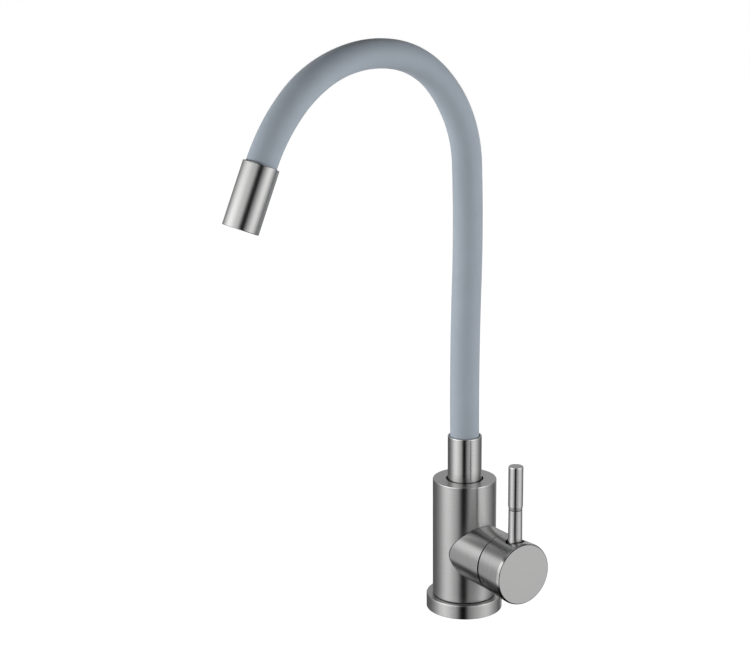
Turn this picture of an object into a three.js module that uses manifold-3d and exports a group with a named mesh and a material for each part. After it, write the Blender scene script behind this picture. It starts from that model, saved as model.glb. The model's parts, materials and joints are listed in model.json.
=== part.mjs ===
// Kitchen mixer tap with a side lever and a flexible silicone-covered spout.
// Millimetres, +Z up. The origin is the middle of the foot's underside, on the deck.
// The branch with the lever points along +X, and the spout reaches along -Y.
import * as THREE from 'three';
import { mergeVertices } from 'three/addons/utils/BufferGeometryUtils.js';
import Module from 'manifold-3d';

const wasm = await Module();
wasm.setup();

// Clearances
const fit = 0.3; // between a piece and the piece that holds it
const runGap = 0.3; // between pieces that move past each other
const discGap = 0.1; // between the two lapped ceramic discs
const overrun = 1; // how far a cut runs past the face it opens

// Foot and column
const bodyDiameter = 45;
const bodyWall = 2.2;
const bodyTopWall = 3;
const bodyChamfer = 0.4;
const baseOverhang = 4.5; // how far the foot ring stands out past the column
const baseHeight = 10;
const baseLedge = 4.7; // width of the ring's ledge under the inlet block
const baseChamfer = 0.6;
const gasketWidth = 4;
const gasketHeight = 2;

// Inlet block and pipes
const blockRise = 16; // height of the block above the foot ring
const portTapDiameter = 8.8; // tapping bore of an M10x1 hose port
const portTapDepth = 12;
const studTapDiameter = 5; // tapping bore of an M6 fixing stud
const studTapDepth = 12;
const studPlaceShare = 0.65; // of the block's neck radius
const pipeDiameter = 8;
const riserDiameter = 10;
const pipeWall = 1;
const pipeSocket = 6; // depth of a pipe's socket
const pipeGap = 2.6; // bare pipe between the block and the valve seat
const riserGap = 6.5; // bare pipe between the valve seat and the swivel
const seatBackWall = 1.7; // metal behind the riser's socket in the valve seat

// Branch and cartridge
const branchStep = 2; // how much smaller the branch's radius is than the column's
const branchLength = 20.1; // from the column's side to the branch's mouth
const mouthChamfer = 0.5;
const threadWall = 1.6; // wall outside the retaining nut's thread
const threadStep = 1.1; // from the thread down to the cartridge's bore
const spigotWall = 1.3; // wall of the branch's spigot in the column
const nutRecess = 0.8; // retaining nut below the branch's mouth
const retainingNutHeight = 5.8;
const retainingNutRing = 5.4; // radial width of the nut
const nutSlotWidth = 4.4;
const nutSlotDepth = 2;
const nutSlotCount = 4;
const housingWall = 1.6;
const housingTopWall = 2.5;
const driverThickness = 7.9;
const driverNeckShare = 0.635; // of the driver's radius
const driverNeckHeight = 4.8; // of the neck above the driver's shoulder
const railWidth = 2.8;
const railHeight = 4.5;
const railLengthShare = 1.154; // of the driver's radius
const carrierThickness = 4.6;
const carrierShare = 0.808; // of the driver's radius
const carrierFloor = 0.6; // left under the stem's foot
const movingDiscShare = 0.769; // of the driver's radius
const movingDiscThickness = 2.8;
const pocketShare = 0.526; // hollow under the moving disc, of the driver's radius
const pocketDepth = 1.4;
const pocketPlaceShare = -0.17; // of the cartridge's radius, upward
const fixedDiscThickness = 3;
const cartridgeBaseThickness = 3.8;
const cartridgeLift = 0.2; // base above the valve seat's face, on its seals
const portPlaceShare = 0.43; // of the cartridge's radius, sideways
const inletRiseShare = 0.29; // of the cartridge's radius, upward
const outletRiseShare = -0.49; // of the cartridge's radius, upward
const wayDiameter = 6; // water ways in the valve seat
const portDiameter = 5.2; // holes in the base and the fixed disc
const sealWidth = 1.3;
const sealHeight = 1.6;
const sealSqueeze = 0.2; // room left round a seal
const pegDiameter = 3;
const pegLength = 2;
const pegPlaceShare = 0.69; // of the cartridge's radius, sideways
const pegRiseShare = -0.2; // of the cartridge's radius, upward

// Lever
const stemWidth = 8;
const stemFootDiameter = 4.4;
const stemFootLength = 5.2;
const stemLegThickness = 3.4;
const stemShank = 3; // of the stem below its pin
const stemFootReach = 7; // from the pin to the foot's middle
const pinDiameter = 3;
const pinLengthShare = 1.667; // of the driver's radius
const pinRise = 5.2; // of the pin above the driver's underside
const liftDegrees = 20; // how far the lever tips outward
const capReach = 25.3; // from the branch's mouth to the cap's end face
const capFlare = 0.6; // how much the cap's radius grows towards its end face
const capWall = 1.2;
const capEndWall = 2.8;
const capChamfer = 0.5;
const capTopGap = 0.35; // open joint at the top of the cap's rim
const capBottomGap = 2.4; // open joint at the bottom, room for the tip
const hubDiameter = 17.2;
const hubGap = 4.9; // from the branch's mouth to the cap's hub
const stemEngagement = 8.2; // from the stem's end to the cap's end face
const leverSetback = 15.8; // from the branch's mouth to the lever's axis
const rodBossWall = 1.65;
const rodHoleDiameter = 10.5;
const rodSeatDepth = 5.5; // of the rod's seat below the top of the cap
const rodFootDiameter = 9.6;
const rodHeadDiameter = 9.2;
const rodExposed = 23.2; // from the top of the cap to the seam
const rodThreadDiameter = 5.6;
const rodThreadShare = 0.526; // of the room between the rod's seat and the stem
const studDiameter = 4.8; // joins the rod and the grip
const studLength = 12;
const gripDiameter = 9.9;
const gripLength = 30.6;
const gripTaper = 0.5;
const gripTaperLength = 2.4;
const gripChamfer = 0.9;
const grubSocketDiameter = 2.9;
const grubSocketShare = 0.5; // of the grub screw's length

// Swivel
const ferruleDiameter = 24; // both end sleeves of the spout
const ferruleWall = 1.4;
const ferruleExposed = 31.7; // above the column's top
const ferruleChamfer = 0.4;
const ferruleThread = 9;
const swivelGap = 1.5; // open ring round the ferrule
const swivelNutLip = 1.9;
const swivelNutSeat = 1.5;
const swivelNutRecess = 1.7; // below the column's top
const bushHeight = 22.6;
const bushFloor = 7.6;
const bushThread = 5;
const groovePlaces = [2, 5.8]; // above the spigot's foot
const grooveWidth = 2.4;
const grooveDepth = 1.7;
const ringSlack = 0.2; // round a swivel seal in its groove
const washerThickness = 0.8;
const washerSlack = 0.1;
const waterBoreDiameter = 9;

// Hose
const hoseFit = 0.4; // between the sleeve and the ferrules
const sleeveWall = 2.1;
const coreGap = 0.6; // between nested hose layers
const coreWall = 1.5;
const tubeWall = 1.2;
const barbGap = 0.5;
const sleeveJoint = 0.2; // between the sleeve's three lengths
const barbLength = 10;
const nippleBoreDiameter = 5;
const nippleThreadDiameter = 11;
const nippleThreadLength = 6.5;
const nippleHexDiameter = 14.8;
const nippleHexHeight = 3;
const hoseInsertionShare = 1 / 3; // of the outlet sleeve's length
// The hose's middle line, from its foot up: runs of one curvature each
const footLength = 18;
const footDegrees = 0.8;
const leanLength = 110.9;
const leanDegrees = -2.8;
const riseLength = 83.8;
const riseDegrees = 4.3;
const shoulderLength = 64.5;
const shoulderDegrees = 41.6;
const crestLength = 39.8;
const crestDegrees = 36.4;
const browLength = 83.7;
const browDegrees = 57;
const fallLength = 44.3;
const fallDegrees = 20.2;

// Outlet
const outletLength = 42.5;
const outletLip = 1; // sleeve past the adapter
const adapterWall = 1;
const adapterFloor = 8.7; // from the adapter's top to its chamber
const aeratorWasherWidth = 2;
const aeratorWasherThickness = 1.4;
const aeratorWall = 1.3;
const aeratorFloor = 1.2;
const aeratorFloorStep = 1;
const aeratorRecess = 0.5; // of the aerator in the adapter
const screenThickness = 0.8;
const screenHoleDiameter = 2.4;
const screenHoleRings = 1; // of holes round the middle hole
const screenRim = 1.6; // outside the outer holes
const coreDepthShare = 0.685; // of the room under the screen
const coreHoleDiameter = 2;
const coreHoleRings = 2;
const coreRim = 0.8;

// Number of flat sides on round pieces
const roundSides = 40;
const middleSides = 24;
const smallSides = 14;
const tinySides = 8;
const hexSides = 6;
const sleeveSides = 20;
const sleeveBoreSides = 10;
const coreSides = 10;
const coreBoreSides = 8;
const tubeSides = 8;
const bendStep = 7.5; // most degrees of the hose's bend in one step

// Worked out: column
const bodyR = bodyDiameter / 2;
const bodyBoreR = bodyR - bodyWall;
const insertR = bodyBoreR - fit;
const baseR = bodyR + baseOverhang;
const baseBoreR = insertR - baseLedge;
const neckR = baseBoreR - fit;
const blockTop = baseHeight + blockRise;

// Worked out: branch
const branchR = bodyR - branchStep;
const barrelThreadR = branchR - threadWall;
const barrelBoreR = barrelThreadR - threadStep;
const spigotR = barrelBoreR + spigotWall;
const saddleHoleR = spigotR + fit;
const cartridgeR = barrelBoreR - fit;
const mouthX = bodyR + branchLength;
const leverX = mouthX + leverSetback;
const capEndX = mouthX + capReach;
const branchHeight = blockTop + pipeGap + cartridgeR;
const capEndR = branchR + capFlare;
const capTop = branchHeight + branchR + (capFlare * leverSetback) / capReach;

// Worked out: the cartridge's stack, from the branch's mouth inward
const nutTopX = mouthX - nutRecess;
const housingTopX = nutTopX - retainingNutHeight;
const housingCeilingX = housingTopX - housingTopWall;
const driverShoulderX = housingCeilingX - runGap;
const driverBottomX = driverShoulderX - driverThickness;
const driverTopX = driverShoulderX + driverNeckHeight;
const pivotX = driverBottomX + pinRise;
const carrierTopX = driverBottomX - runGap;
const carrierBottomX = carrierTopX - carrierThickness;
const movingDiscBottomX = carrierBottomX - movingDiscThickness;
const fixedDiscTopX = movingDiscBottomX - discGap;
const fixedDiscBottomX = fixedDiscTopX - fixedDiscThickness;
const cartridgeBaseBottomX = fixedDiscBottomX - cartridgeBaseThickness;
const seatFaceX = cartridgeBaseBottomX - cartridgeLift;
const housingBoreR = cartridgeR - housingWall;
const driverR = housingBoreR - fit;
const driverNeckR = driverR * driverNeckShare;
const pinLength = driverR * pinLengthShare;
const seatBackX = -(riserDiameter / 2 + fit + seatBackWall);
const portY = cartridgeR * portPlaceShare;

// Worked out: swivel
const bushBottom = branchHeight + cartridgeR + riserGap;
const bushTop = bushBottom + bushHeight;
const bodyCeiling = bushTop + fit;
const bodyTop = bodyCeiling + bodyTopWall;
const ferruleR = ferruleDiameter / 2;
const ferruleBoreR = ferruleR - ferruleWall;
const topHoleR = ferruleR + swivelGap;
const swivelNutR = topHoleR - fit;
const swivelNutBoreR = ferruleR - swivelNutLip;
const spigotNeckR = swivelNutBoreR - runGap;
const shoulderR = swivelNutR - swivelNutSeat;
const bushBoreR = shoulderR + runGap;
const bushThreadR = swivelNutR + fit;
const spigotBottom = bushBottom + bushFloor + runGap;
const swivelNutBottom = bushTop - bushThread;
const swivelNutTop = bodyTop - swivelNutRecess;
const washerBottom = swivelNutTop + washerSlack;
const ferruleBottom = washerBottom + washerThickness + washerSlack;
const ferruleTop = bodyTop + ferruleExposed;
const spigotTop = ferruleBottom + ferruleThread - fit;

// Worked out: hose
const hoseR = ferruleBoreR - hoseFit;
const sleeveBoreR = hoseR - sleeveWall;
const coreR = sleeveBoreR - coreGap;
const coreBoreR = coreR - coreWall;
const tubeR = coreBoreR - coreGap;
const tubeBoreR = tubeR - tubeWall;
const barbR = tubeBoreR - barbGap;
const hoseFoot = spigotTop + nippleHexHeight + fit;
const adapterR = ferruleBoreR - fit;
const hoseInsertion = outletLength * hoseInsertionShare;

// Materials
const material = (color, roughness, metalness) =>
  new THREE.MeshStandardMaterial({ color, roughness, metalness });
const brushedSteel = material(0xb6b4b0, 0.34, 1);
const plainSteel = material(0xa9a7a2, 0.45, 1);
const brass = material(0xc2a35a, 0.4, 1);
const siliconeGrey = material(0x8f979f, 0.75, 0);
const blackRubber = material(0x1d1d1e, 0.8, 0);
const whitePlastic = material(0xe4e3dc, 0.5, 0);
const greyPlastic = material(0x6d7175, 0.5, 0);
const darkPlastic = material(0x2b2c2e, 0.5, 0);
const ceramic = material(0xf0efe9, 0.2, 0);

// A round solid from a closed outline of [radius, height], with its middle line along Z
function turned(outline, sides) {
  const touchesAxis = outline[0][0] === 0;
  const closed = touchesAxis ? outline : [...outline, outline[0]];
  const points = closed.map(([r, h]) => new THREE.Vector2(r, h));
  return new THREE.LatheGeometry(points, sides).rotateX(Math.PI / 2);
}

function rod(radius, bottom, top, sides) {
  return turned([[0, bottom], [radius, bottom], [radius, top], [0, top]], sides);
}

function ring(inner, outer, bottom, top, sides) {
  return turned([[inner, bottom], [outer, bottom], [outer, top], [inner, top]], sides);
}

function block(x0, x1, y0, y1, z0, z1) {
  const box = new THREE.BoxGeometry(x1 - x0, y1 - y0, z1 - z0);
  return box.translate((x0 + x1) / 2, (y0 + y1) / 2, (z0 + z1) / 2);
}

// Lays a Z-wise geometry along X or along Y
const alongX = (geometry) => geometry.rotateY(Math.PI / 2);
const alongY = (geometry) => geometry.rotateX(-Math.PI / 2);

// Joins and cuts
function solidOf(geometry) {
  const bare = geometry.clone();
  bare.deleteAttribute('normal');
  bare.deleteAttribute('uv');
  const merged = mergeVertices(bare);
  const corners = merged.index.array;
  const kept = [];
  for (let i = 0; i < corners.length; i += 3) {
    const [a, b, c] = [corners[i], corners[i + 1], corners[i + 2]];
    if (a !== b && b !== c && c !== a) kept.push(a, b, c);
  }
  return new wasm.Manifold(new wasm.Mesh({
    numProp: 3,
    vertProperties: merged.attributes.position.array,
    triVerts: new Uint32Array(kept),
  }));
}

function geometryOf(solid) {
  const mesh = solid.getMesh();
  const geometry = new THREE.BufferGeometry();
  geometry.setAttribute('position', new THREE.BufferAttribute(mesh.vertProperties, mesh.numProp));
  geometry.setIndex(new THREE.BufferAttribute(mesh.triVerts, 1));
  const flat = geometry.toNonIndexed();
  flat.computeVertexNormals();
  return flat;
}

const joined = (...geometries) =>
  geometryOf(geometries.map(solidOf).reduce((sum, next) => sum.add(next)));

const cut = (geometry, ...tools) =>
  geometryOf(tools.map(solidOf).reduce((rest, tool) => rest.subtract(tool), solidOf(geometry)));

const common = (geometry, other) => geometryOf(solidOf(geometry).intersect(solidOf(other)));

function piece(name, geometry, finish) {
  const mesh = new THREE.Mesh(geometry, finish);
  mesh.name = name;
  return mesh;
}

// Foot ring with the gasket's groove in its underside
function baseRing() {
  const grooveMid = (baseBoreR + baseR) / 2;
  const grooveIn = grooveMid - gasketWidth / 2 - fit;
  const grooveOut = grooveMid + gasketWidth / 2 + fit;
  return turned([
    [baseBoreR, 0],
    [grooveIn, 0],
    [grooveIn, gasketHeight + fit],
    [grooveOut, gasketHeight + fit],
    [grooveOut, 0],
    [baseR, 0],
    [baseR, baseHeight - baseChamfer],
    [baseR - baseChamfer, baseHeight],
    [baseBoreR, baseHeight],
  ], roundSides);
}

function deckGasket() {
  const middle = (baseBoreR + baseR) / 2;
  return ring(middle - gasketWidth / 2, middle + gasketWidth / 2, 0, gasketHeight, middleSides);
}

// Foot casting: its neck fills the ring, and its head carries the column's foot
function inletBlock() {
  const head = turned([
    [0, 0],
    [neckR, 0],
    [neckR, baseHeight],
    [insertR, baseHeight],
    [insertR, blockTop],
    [0, blockTop],
  ], middleSides);
  const cuts = [];
  for (const side of [-1, 1]) {
    const tap = rod(portTapDiameter / 2, -overrun, portTapDepth, smallSides);
    const way = rod(wayDiameter / 2, portTapDepth - overrun, blockTop, tinySides);
    const socket = rod(pipeDiameter / 2 + fit, blockTop - pipeSocket, blockTop + overrun, smallSides);
    cuts.push(...[tap, way, socket].map((tool) => tool.translate(0, side * portY, 0)));
    const stud = rod(studTapDiameter / 2, -overrun, studTapDepth, tinySides);
    cuts.push(stud.translate(side * neckR * studPlaceShare, 0, 0));
  }
  return cut(head, ...cuts);
}

// Column: a tube with a flat top, opened on the branch's side
function bodyShell() {
  const shell = turned([
    [bodyBoreR, baseHeight],
    [bodyR - bodyChamfer, baseHeight],
    [bodyR, baseHeight + bodyChamfer],
    [bodyR, bodyTop - bodyChamfer],
    [bodyR - bodyChamfer, bodyTop],
    [topHoleR, bodyTop],
    [topHoleR, bodyCeiling],
    [bodyBoreR, bodyCeiling],
  ], roundSides);
  const opening = alongX(rod(saddleHoleR, 0, bodyR + overrun, roundSides));
  return cut(shell, opening.translate(0, 0, branchHeight));
}

// A water way across the branch, at one place of the column's axis, in the branch's own frame
function upright(radius, place, low, high, sides) {
  return alongX(rod(radius, -high, -low, sides)).translate(0, place, 0);
}

// In the branch's frame Z is the branch's axis, and -X is up
function sideBarrel() {
  const saddle = upright(bodyR + fit, 0, -bodyDiameter, bodyDiameter, roundSides);
  const inside = upright(bodyBoreR, 0, -bodyDiameter, bodyDiameter, roundSides);
  const outer = turned([
    [0, 0],
    [branchR, 0],
    [branchR, mouthX - mouthChamfer],
    [branchR - mouthChamfer, mouthX],
    [0, mouthX],
  ], roundSides);
  const spigot = rod(spigotR, 0, housingTopX, roundSides);
  const bore = rod(barrelBoreR, -overrun, mouthX + overrun, roundSides);
  const thread = rod(barrelThreadR, housingTopX - fit, mouthX + overrun, roundSides);
  return cut(joined(cut(outer, saddle), cut(spigot, inside)), bore, thread);
}

function pegs(radius, bottom, top) {
  return [-1, 1].map((side) =>
    rod(radius, bottom, top, tinySides).translate(
      -cartridgeR * pegRiseShare, side * cartridgeR * pegPlaceShare, 0));
}

// The three ports' places in the branch's frame
const portPlaces = {
  hot: [-cartridgeR * inletRiseShare, portY],
  cold: [-cartridgeR * inletRiseShare, -portY],
  mixed: [-cartridgeR * outletRiseShare, 0],
};

function valveSeat() {
  const wayR = wayDiameter / 2;
  const inletRise = cartridgeR * inletRiseShare;
  const outletRise = cartridgeR * outletRiseShare;
  const pipeTop = -cartridgeR + pipeSocket;
  const riserFoot = cartridgeR - pipeSocket;
  const cuts = pegs(pegDiameter / 2 + fit, seatFaceX - pegLength - fit, seatFaceX + overrun);
  for (const side of [-1, 1]) {
    const y = side * portY;
    cuts.push(upright(pipeDiameter / 2 + fit, y, -cartridgeR - overrun, pipeTop, smallSides));
    cuts.push(upright(wayR, y, pipeTop - overrun, inletRise + wayR, tinySides));
  }
  cuts.push(upright(riserDiameter / 2 + fit, 0, riserFoot, cartridgeR + overrun, smallSides));
  cuts.push(upright(wayR, 0, outletRise - wayR, riserFoot + overrun, tinySides));
  for (const [x, y] of Object.values(portPlaces)) {
    cuts.push(rod(wayR, 0, seatFaceX + overrun, tinySides).translate(x, y, 0));
  }
  return cut(rod(cartridgeR, seatBackX, seatFaceX, middleSides), ...cuts);
}

function cartridgeBase() {
  const bottom = cartridgeBaseBottomX;
  const top = fixedDiscBottomX;
  const cuts = [];
  for (const [x, y] of Object.values(portPlaces)) {
    const seatR = wayDiameter / 2 + sealWidth + sealSqueeze;
    cuts.push(rod(portDiameter / 2, bottom - overrun, top + overrun, tinySides).translate(x, y, 0));
    cuts.push(rod(seatR, bottom - overrun, bottom + sealHeight, smallSides).translate(x, y, 0));
  }
  const plate = rod(cartridgeR - fit, bottom, top, middleSides);
  return joined(cut(plate, ...cuts), ...pegs(pegDiameter / 2, bottom - pegLength, bottom));
}

function portSeal([x, y]) {
  const inner = wayDiameter / 2;
  const top = seatFaceX + sealHeight;
  return ring(inner, inner + sealWidth, seatFaceX, top, smallSides).translate(x, y, 0);
}

function fixedDisc() {
  const hole = rod(portDiameter / 2, fixedDiscBottomX - overrun, fixedDiscTopX + overrun, tinySides);
  const cuts = Object.values(portPlaces).map(([x, y]) => hole.clone().translate(x, y, 0));
  return cut(rod(driverR, fixedDiscBottomX, fixedDiscTopX, middleSides), ...cuts);
}

function movingDisc() {
  const bottom = movingDiscBottomX;
  const pocket = rod(driverR * pocketShare, bottom - overrun, bottom + pocketDepth, smallSides);
  const plate = rod(driverR * movingDiscShare, bottom, carrierBottomX, middleSides);
  return cut(plate, pocket.translate(-cartridgeR * pocketPlaceShare, 0, 0));
}

// Flats on its sides run between the driver's rails, and its pocket takes the stem's foot
function discCarrier() {
  const pocketHalf = stemFootDiameter / 2 + fit;
  const pocketSide = stemFootLength / 2 + fit;
  const flat = driverR - railWidth - runGap;
  const body = rod(driverR * carrierShare, carrierBottomX, carrierTopX, middleSides);
  const band = block(-driverR, driverR, -flat, flat, carrierBottomX - overrun, carrierTopX + overrun);
  const pocket = block(
    -pocketHalf, pocketHalf, -pocketSide, pocketSide, carrierBottomX + carrierFloor, carrierTopX + overrun);
  return cut(common(body, band), pocket);
}

function cartridgeHousing() {
  return turned([
    [housingBoreR, fixedDiscBottomX],
    [cartridgeR, fixedDiscBottomX],
    [cartridgeR, housingTopX],
    [driverNeckR + runGap, housingTopX],
    [driverNeckR + runGap, housingCeilingX],
    [housingBoreR, housingCeilingX],
  ], middleSides);
}

function cartridgeDriver() {
  const lift = THREE.MathUtils.degToRad(liftDegrees);
  const half = stemWidth / 2;
  const slotUp = half * Math.cos(lift) + stemShank * Math.sin(lift) + runGap;
  const slotDown = (driverTopX - pivotX) * Math.tan(lift) + half / Math.cos(lift) + runGap;
  const slotSide = half + runGap;
  const body = turned([
    [0, driverBottomX],
    [driverR, driverBottomX],
    [driverR, driverShoulderX],
    [driverNeckR, driverShoulderX],
    [driverNeckR, driverTopX],
    [0, driverTopX],
  ], middleSides);
  const railIn = driverR - railWidth;
  const railEnd = (driverR * railLengthShare) / 2;
  const rails = joined(
    block(-railEnd, railEnd, railIn, driverR, driverBottomX - railHeight, driverBottomX + overrun),
    block(-railEnd, railEnd, -driverR, -railIn, driverBottomX - railHeight, driverBottomX + overrun));
  const round = rod(driverR, driverBottomX - railHeight - overrun, driverTopX, middleSides);
  const slot = block(-slotUp, slotDown, -slotSide, slotSide, driverBottomX - overrun, driverTopX + overrun);
  const pinHole = alongY(rod(pinDiameter / 2 + fit, -driverR - overrun, driverR + overrun, tinySides));
  return cut(joined(body, common(rails, round)), slot, pinHole.translate(0, 0, pivotX));
}

function leverStem() {
  const half = stemWidth / 2;
  const leg = stemLegThickness / 2;
  const footSide = stemFootLength / 2;
  const footX = pivotX - stemFootReach;
  const shankX = pivotX - stemShank;
  const body = block(-half, half, -half, half, shankX, capEndX - stemEngagement);
  const neck = block(-leg, leg, -footSide, footSide, footX, shankX + overrun);
  const foot = alongY(rod(stemFootDiameter / 2, -footSide, footSide, smallSides)).translate(0, 0, footX);
  const pinHole = alongY(rod(pinDiameter / 2 + fit, -stemWidth, stemWidth, tinySides));
  return cut(joined(body, neck, foot), pinHole.translate(0, 0, pivotX));
}

function retainingNut() {
  const outer = barrelThreadR - fit;
  const inner = outer - retainingNutRing;
  const body = turned([
    [inner, housingTopX],
    [outer, housingTopX],
    [outer, nutTopX],
    [inner + nutRecess, nutTopX],
  ], middleSides);
  const slots = [];
  for (let i = 0; i < nutSlotCount; i += 1) {
    const half = nutSlotWidth / 2;
    const floor = nutTopX - nutSlotDepth;
    const slot = block(inner - overrun, outer + overrun, -half, half, floor, nutTopX + overrun);
    slots.push(slot.rotateZ((2 * Math.PI * (i + 1 / 2)) / nutSlotCount));
  }
  return cut(body, ...slots);
}

// Cup with a slanted rim, a hub for the stem and a boss for the lever rod
function handleCap() {
  const innerR = branchR - capWall;
  const endInner = capEndX - capEndWall;
  const rimX = mouthX + capTopGap;
  const hubX = mouthX + hubGap;
  const cup = turned([
    [0, endInner],
    [capEndR - capWall, endInner],
    [innerR, rimX],
    [branchR, rimX],
    [capEndR, capEndX - capChamfer],
    [capEndR - capChamfer, capEndX],
    [0, capEndX],
  ], roundSides);
  const hub = rod(hubDiameter / 2, hubX, endInner + capEndWall / 2, middleSides);
  const bossR = rodHoleDiameter / 2 + rodBossWall;
  const boss = upright(bossR, 0, 0, branchR, middleSides).translate(0, 0, leverX);
  const inside = rod(innerR + capWall / 2, hubX, endInner + capEndWall / 2, roundSides);
  const socketHalf = stemWidth / 2 + fit;
  const socketEnd = capEndX - stemEngagement + fit;
  const socket = block(-socketHalf, socketHalf, -socketHalf, socketHalf, hubX - overrun, socketEnd);
  const seatRise = rodSeat - branchHeight;
  const rodHole = upright(rodHoleDiameter / 2, 0, seatRise, capEndR + overrun, middleSides);
  const threadHole = upright(rodThreadDiameter / 2 + fit, 0, 0, seatRise + overrun, smallSides);
  const slant = Math.atan((capBottomGap - capTopGap) / (2 * branchR));
  const slice = block(-bodyDiameter, bodyDiameter, -bodyDiameter, bodyDiameter, -bodyDiameter, 0);
  slice.rotateY(-slant).translate(-branchR, 0, rimX);
  return cut(
    joined(cup, hub, common(boss, inside)),
    socket,
    rodHole.translate(0, 0, leverX),
    threadHole.translate(0, 0, leverX),
    slice);
}

// The lever's pieces stand on the cap, at their real heights
const rodSeat = capTop - rodSeatDepth;
const seam = capTop + rodExposed;
const stemTop = branchHeight + stemWidth / 2;
const rodThreadLength = (rodSeat - stemTop) * rodThreadShare;

function leverRod() {
  return turned([
    [0, rodSeat - rodThreadLength],
    [rodThreadDiameter / 2, rodSeat - rodThreadLength],
    [rodThreadDiameter / 2, rodSeat],
    [rodFootDiameter / 2, rodSeat],
    [rodHeadDiameter / 2, seam],
    [studDiameter / 2, seam],
    [studDiameter / 2, seam + studLength],
    [0, seam + studLength],
  ], middleSides);
}

function leverGrip() {
  const bottom = seam + fit;
  const top = bottom + gripLength;
  const boreTop = seam + studLength + fit;
  return turned([
    [0, boreTop],
    [studDiameter / 2 + fit, boreTop],
    [studDiameter / 2 + fit, bottom],
    [gripDiameter / 2 - gripTaper, bottom],
    [gripDiameter / 2, bottom + gripTaperLength],
    [gripDiameter / 2, top - gripChamfer],
    [gripDiameter / 2 - gripChamfer, top],
    [0, top],
  ], middleSides);
}

function grubScrew() {
  const bottom = stemTop + fit;
  const top = rodSeat - rodThreadLength - fit;
  const socketFloor = top - (top - bottom) * grubSocketShare;
  const body = rod(rodThreadDiameter / 2, bottom, top, smallSides);
  const socket = rod(grubSocketDiameter / 2, socketFloor, top + overrun, hexSides);
  return cut(body, socket);
}

// Housing of the swivel: a socket for the riser below, the spigot's bore above
function swivelBush() {
  const socketR = riserDiameter / 2 + fit;
  const floor = bushBottom + bushFloor;
  const wayR = wayDiameter / 2;
  return turned([
    [socketR, bushBottom],
    [insertR, bushBottom],
    [insertR, bushTop],
    [bushThreadR, bushTop],
    [bushThreadR, swivelNutBottom],
    [bushBoreR, swivelNutBottom],
    [bushBoreR, floor],
    [wayR, floor],
    [wayR, bushBottom + pipeSocket],
    [socketR, bushBottom + pipeSocket],
  ], middleSides);
}

function swivelSpigot() {
  const bore = waterBoreDiameter / 2;
  const groove = shoulderR - grooveDepth;
  const threadR = nippleThreadDiameter / 2 + fit;
  const shoulderTop = swivelNutBottom - runGap;
  const threadFloor = spigotTop - nippleThreadLength - fit;
  const outline = [[bore, spigotBottom], [shoulderR, spigotBottom]];
  for (const place of groovePlaces) {
    outline.push([shoulderR, spigotBottom + place]);
    outline.push([groove, spigotBottom + place]);
    outline.push([groove, spigotBottom + place + grooveWidth]);
    outline.push([shoulderR, spigotBottom + place + grooveWidth]);
  }
  outline.push([shoulderR, shoulderTop], [spigotNeckR, shoulderTop], [spigotNeckR, spigotTop]);
  outline.push([threadR, spigotTop], [threadR, threadFloor], [bore, threadFloor]);
  return turned(outline, middleSides);
}

function swivelRing(place) {
  const groove = shoulderR - grooveDepth;
  const middle = (groove + bushBoreR) / 2;
  const section = (bushBoreR - groove) / 2 - ringSlack;
  const height = spigotBottom + place + grooveWidth / 2;
  return new THREE.TorusGeometry(middle, section, hexSides + 2, middleSides).translate(0, 0, height);
}

function lowerFerrule() {
  const threadTop = ferruleBottom + ferruleThread;
  const threadR = spigotNeckR + fit;
  return turned([
    [threadR, ferruleBottom],
    [ferruleR, ferruleBottom],
    [ferruleR, ferruleTop - ferruleChamfer],
    [ferruleR - ferruleChamfer, ferruleTop],
    [ferruleBoreR, ferruleTop],
    [ferruleBoreR, threadTop],
    [threadR, threadTop],
  ], roundSides);
}

// Hose end fitting, from its thread below up to its barb
function hoseNipple() {
  const bore = nippleBoreDiameter / 2;
  const threadR = nippleThreadDiameter / 2;
  const body = turned([
    [bore, -nippleThreadLength],
    [threadR, -nippleThreadLength],
    [threadR, 0],
    [threadR, nippleHexHeight],
    [barbR, nippleHexHeight],
    [barbR, nippleHexHeight + barbLength],
    [bore, nippleHexHeight + barbLength],
  ], smallSides);
  const nut = ring((bore + threadR) / 2, nippleHexDiameter / 2, 0, nippleHexHeight, hexSides);
  return joined(body, nut);
}

// The hose's middle line in the plane X = 0, made of straight and round runs.
// A run is [length, turn in degrees], and the line starts straight up and bends towards -Y.
class BentLine extends THREE.Curve {
  constructor(runs, start, from, to) {
    super();
    this.runs = runs;
    this.start = start;
    this.from = from;
    this.to = to;
    this.stations = this.stationsBetween();
  }

  // Distances along the line where a section stands: a straight run has none inside it
  stationsBetween() {
    const stations = [this.from];
    let begin = 0;
    for (const [length, degrees] of this.runs) {
      const first = Math.max(begin, this.from);
      const last = Math.min(begin + length, this.to);
      const count = Math.max(1, Math.ceil((Math.abs(degrees) * (last - first)) / length / bendStep));
      for (let i = 1; i <= count && last > first; i += 1) {
        stations.push(first + ((last - first) * i) / count);
      }
      begin += length;
    }
    return stations;
  }

  // Share of the length at share u of the stations
  getUtoTmapping(u) {
    const steps = this.stations.length - 1;
    const place = u * steps;
    const before = Math.min(Math.floor(place), steps - 1);
    const near = this.stations[before];
    const distance = near + (this.stations[before + 1] - near) * (place - before);
    return (distance - this.from) / (this.to - this.from);
  }

  // Place and heading at a distance along the line
  at(distance) {
    const place = this.start.clone();
    let heading = 0;
    let left = distance;
    for (const [length, degrees] of this.runs) {
      const used = Math.min(left, length);
      const turn = (THREE.MathUtils.degToRad(degrees) * used) / length;
      const chord = turn === 0 ? used : (used * Math.sin(turn / 2)) / (turn / 2);
      const middle = heading + turn / 2;
      place.add(new THREE.Vector3(0, -Math.sin(middle), Math.cos(middle)).multiplyScalar(chord));
      heading += turn;
      left -= used;
      if (left <= 0) break;
    }
    return { place, heading };
  }

  getPoint(t, target = new THREE.Vector3()) {
    return target.copy(this.at(this.from + (this.to - this.from) * t).place);
  }
}

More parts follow.
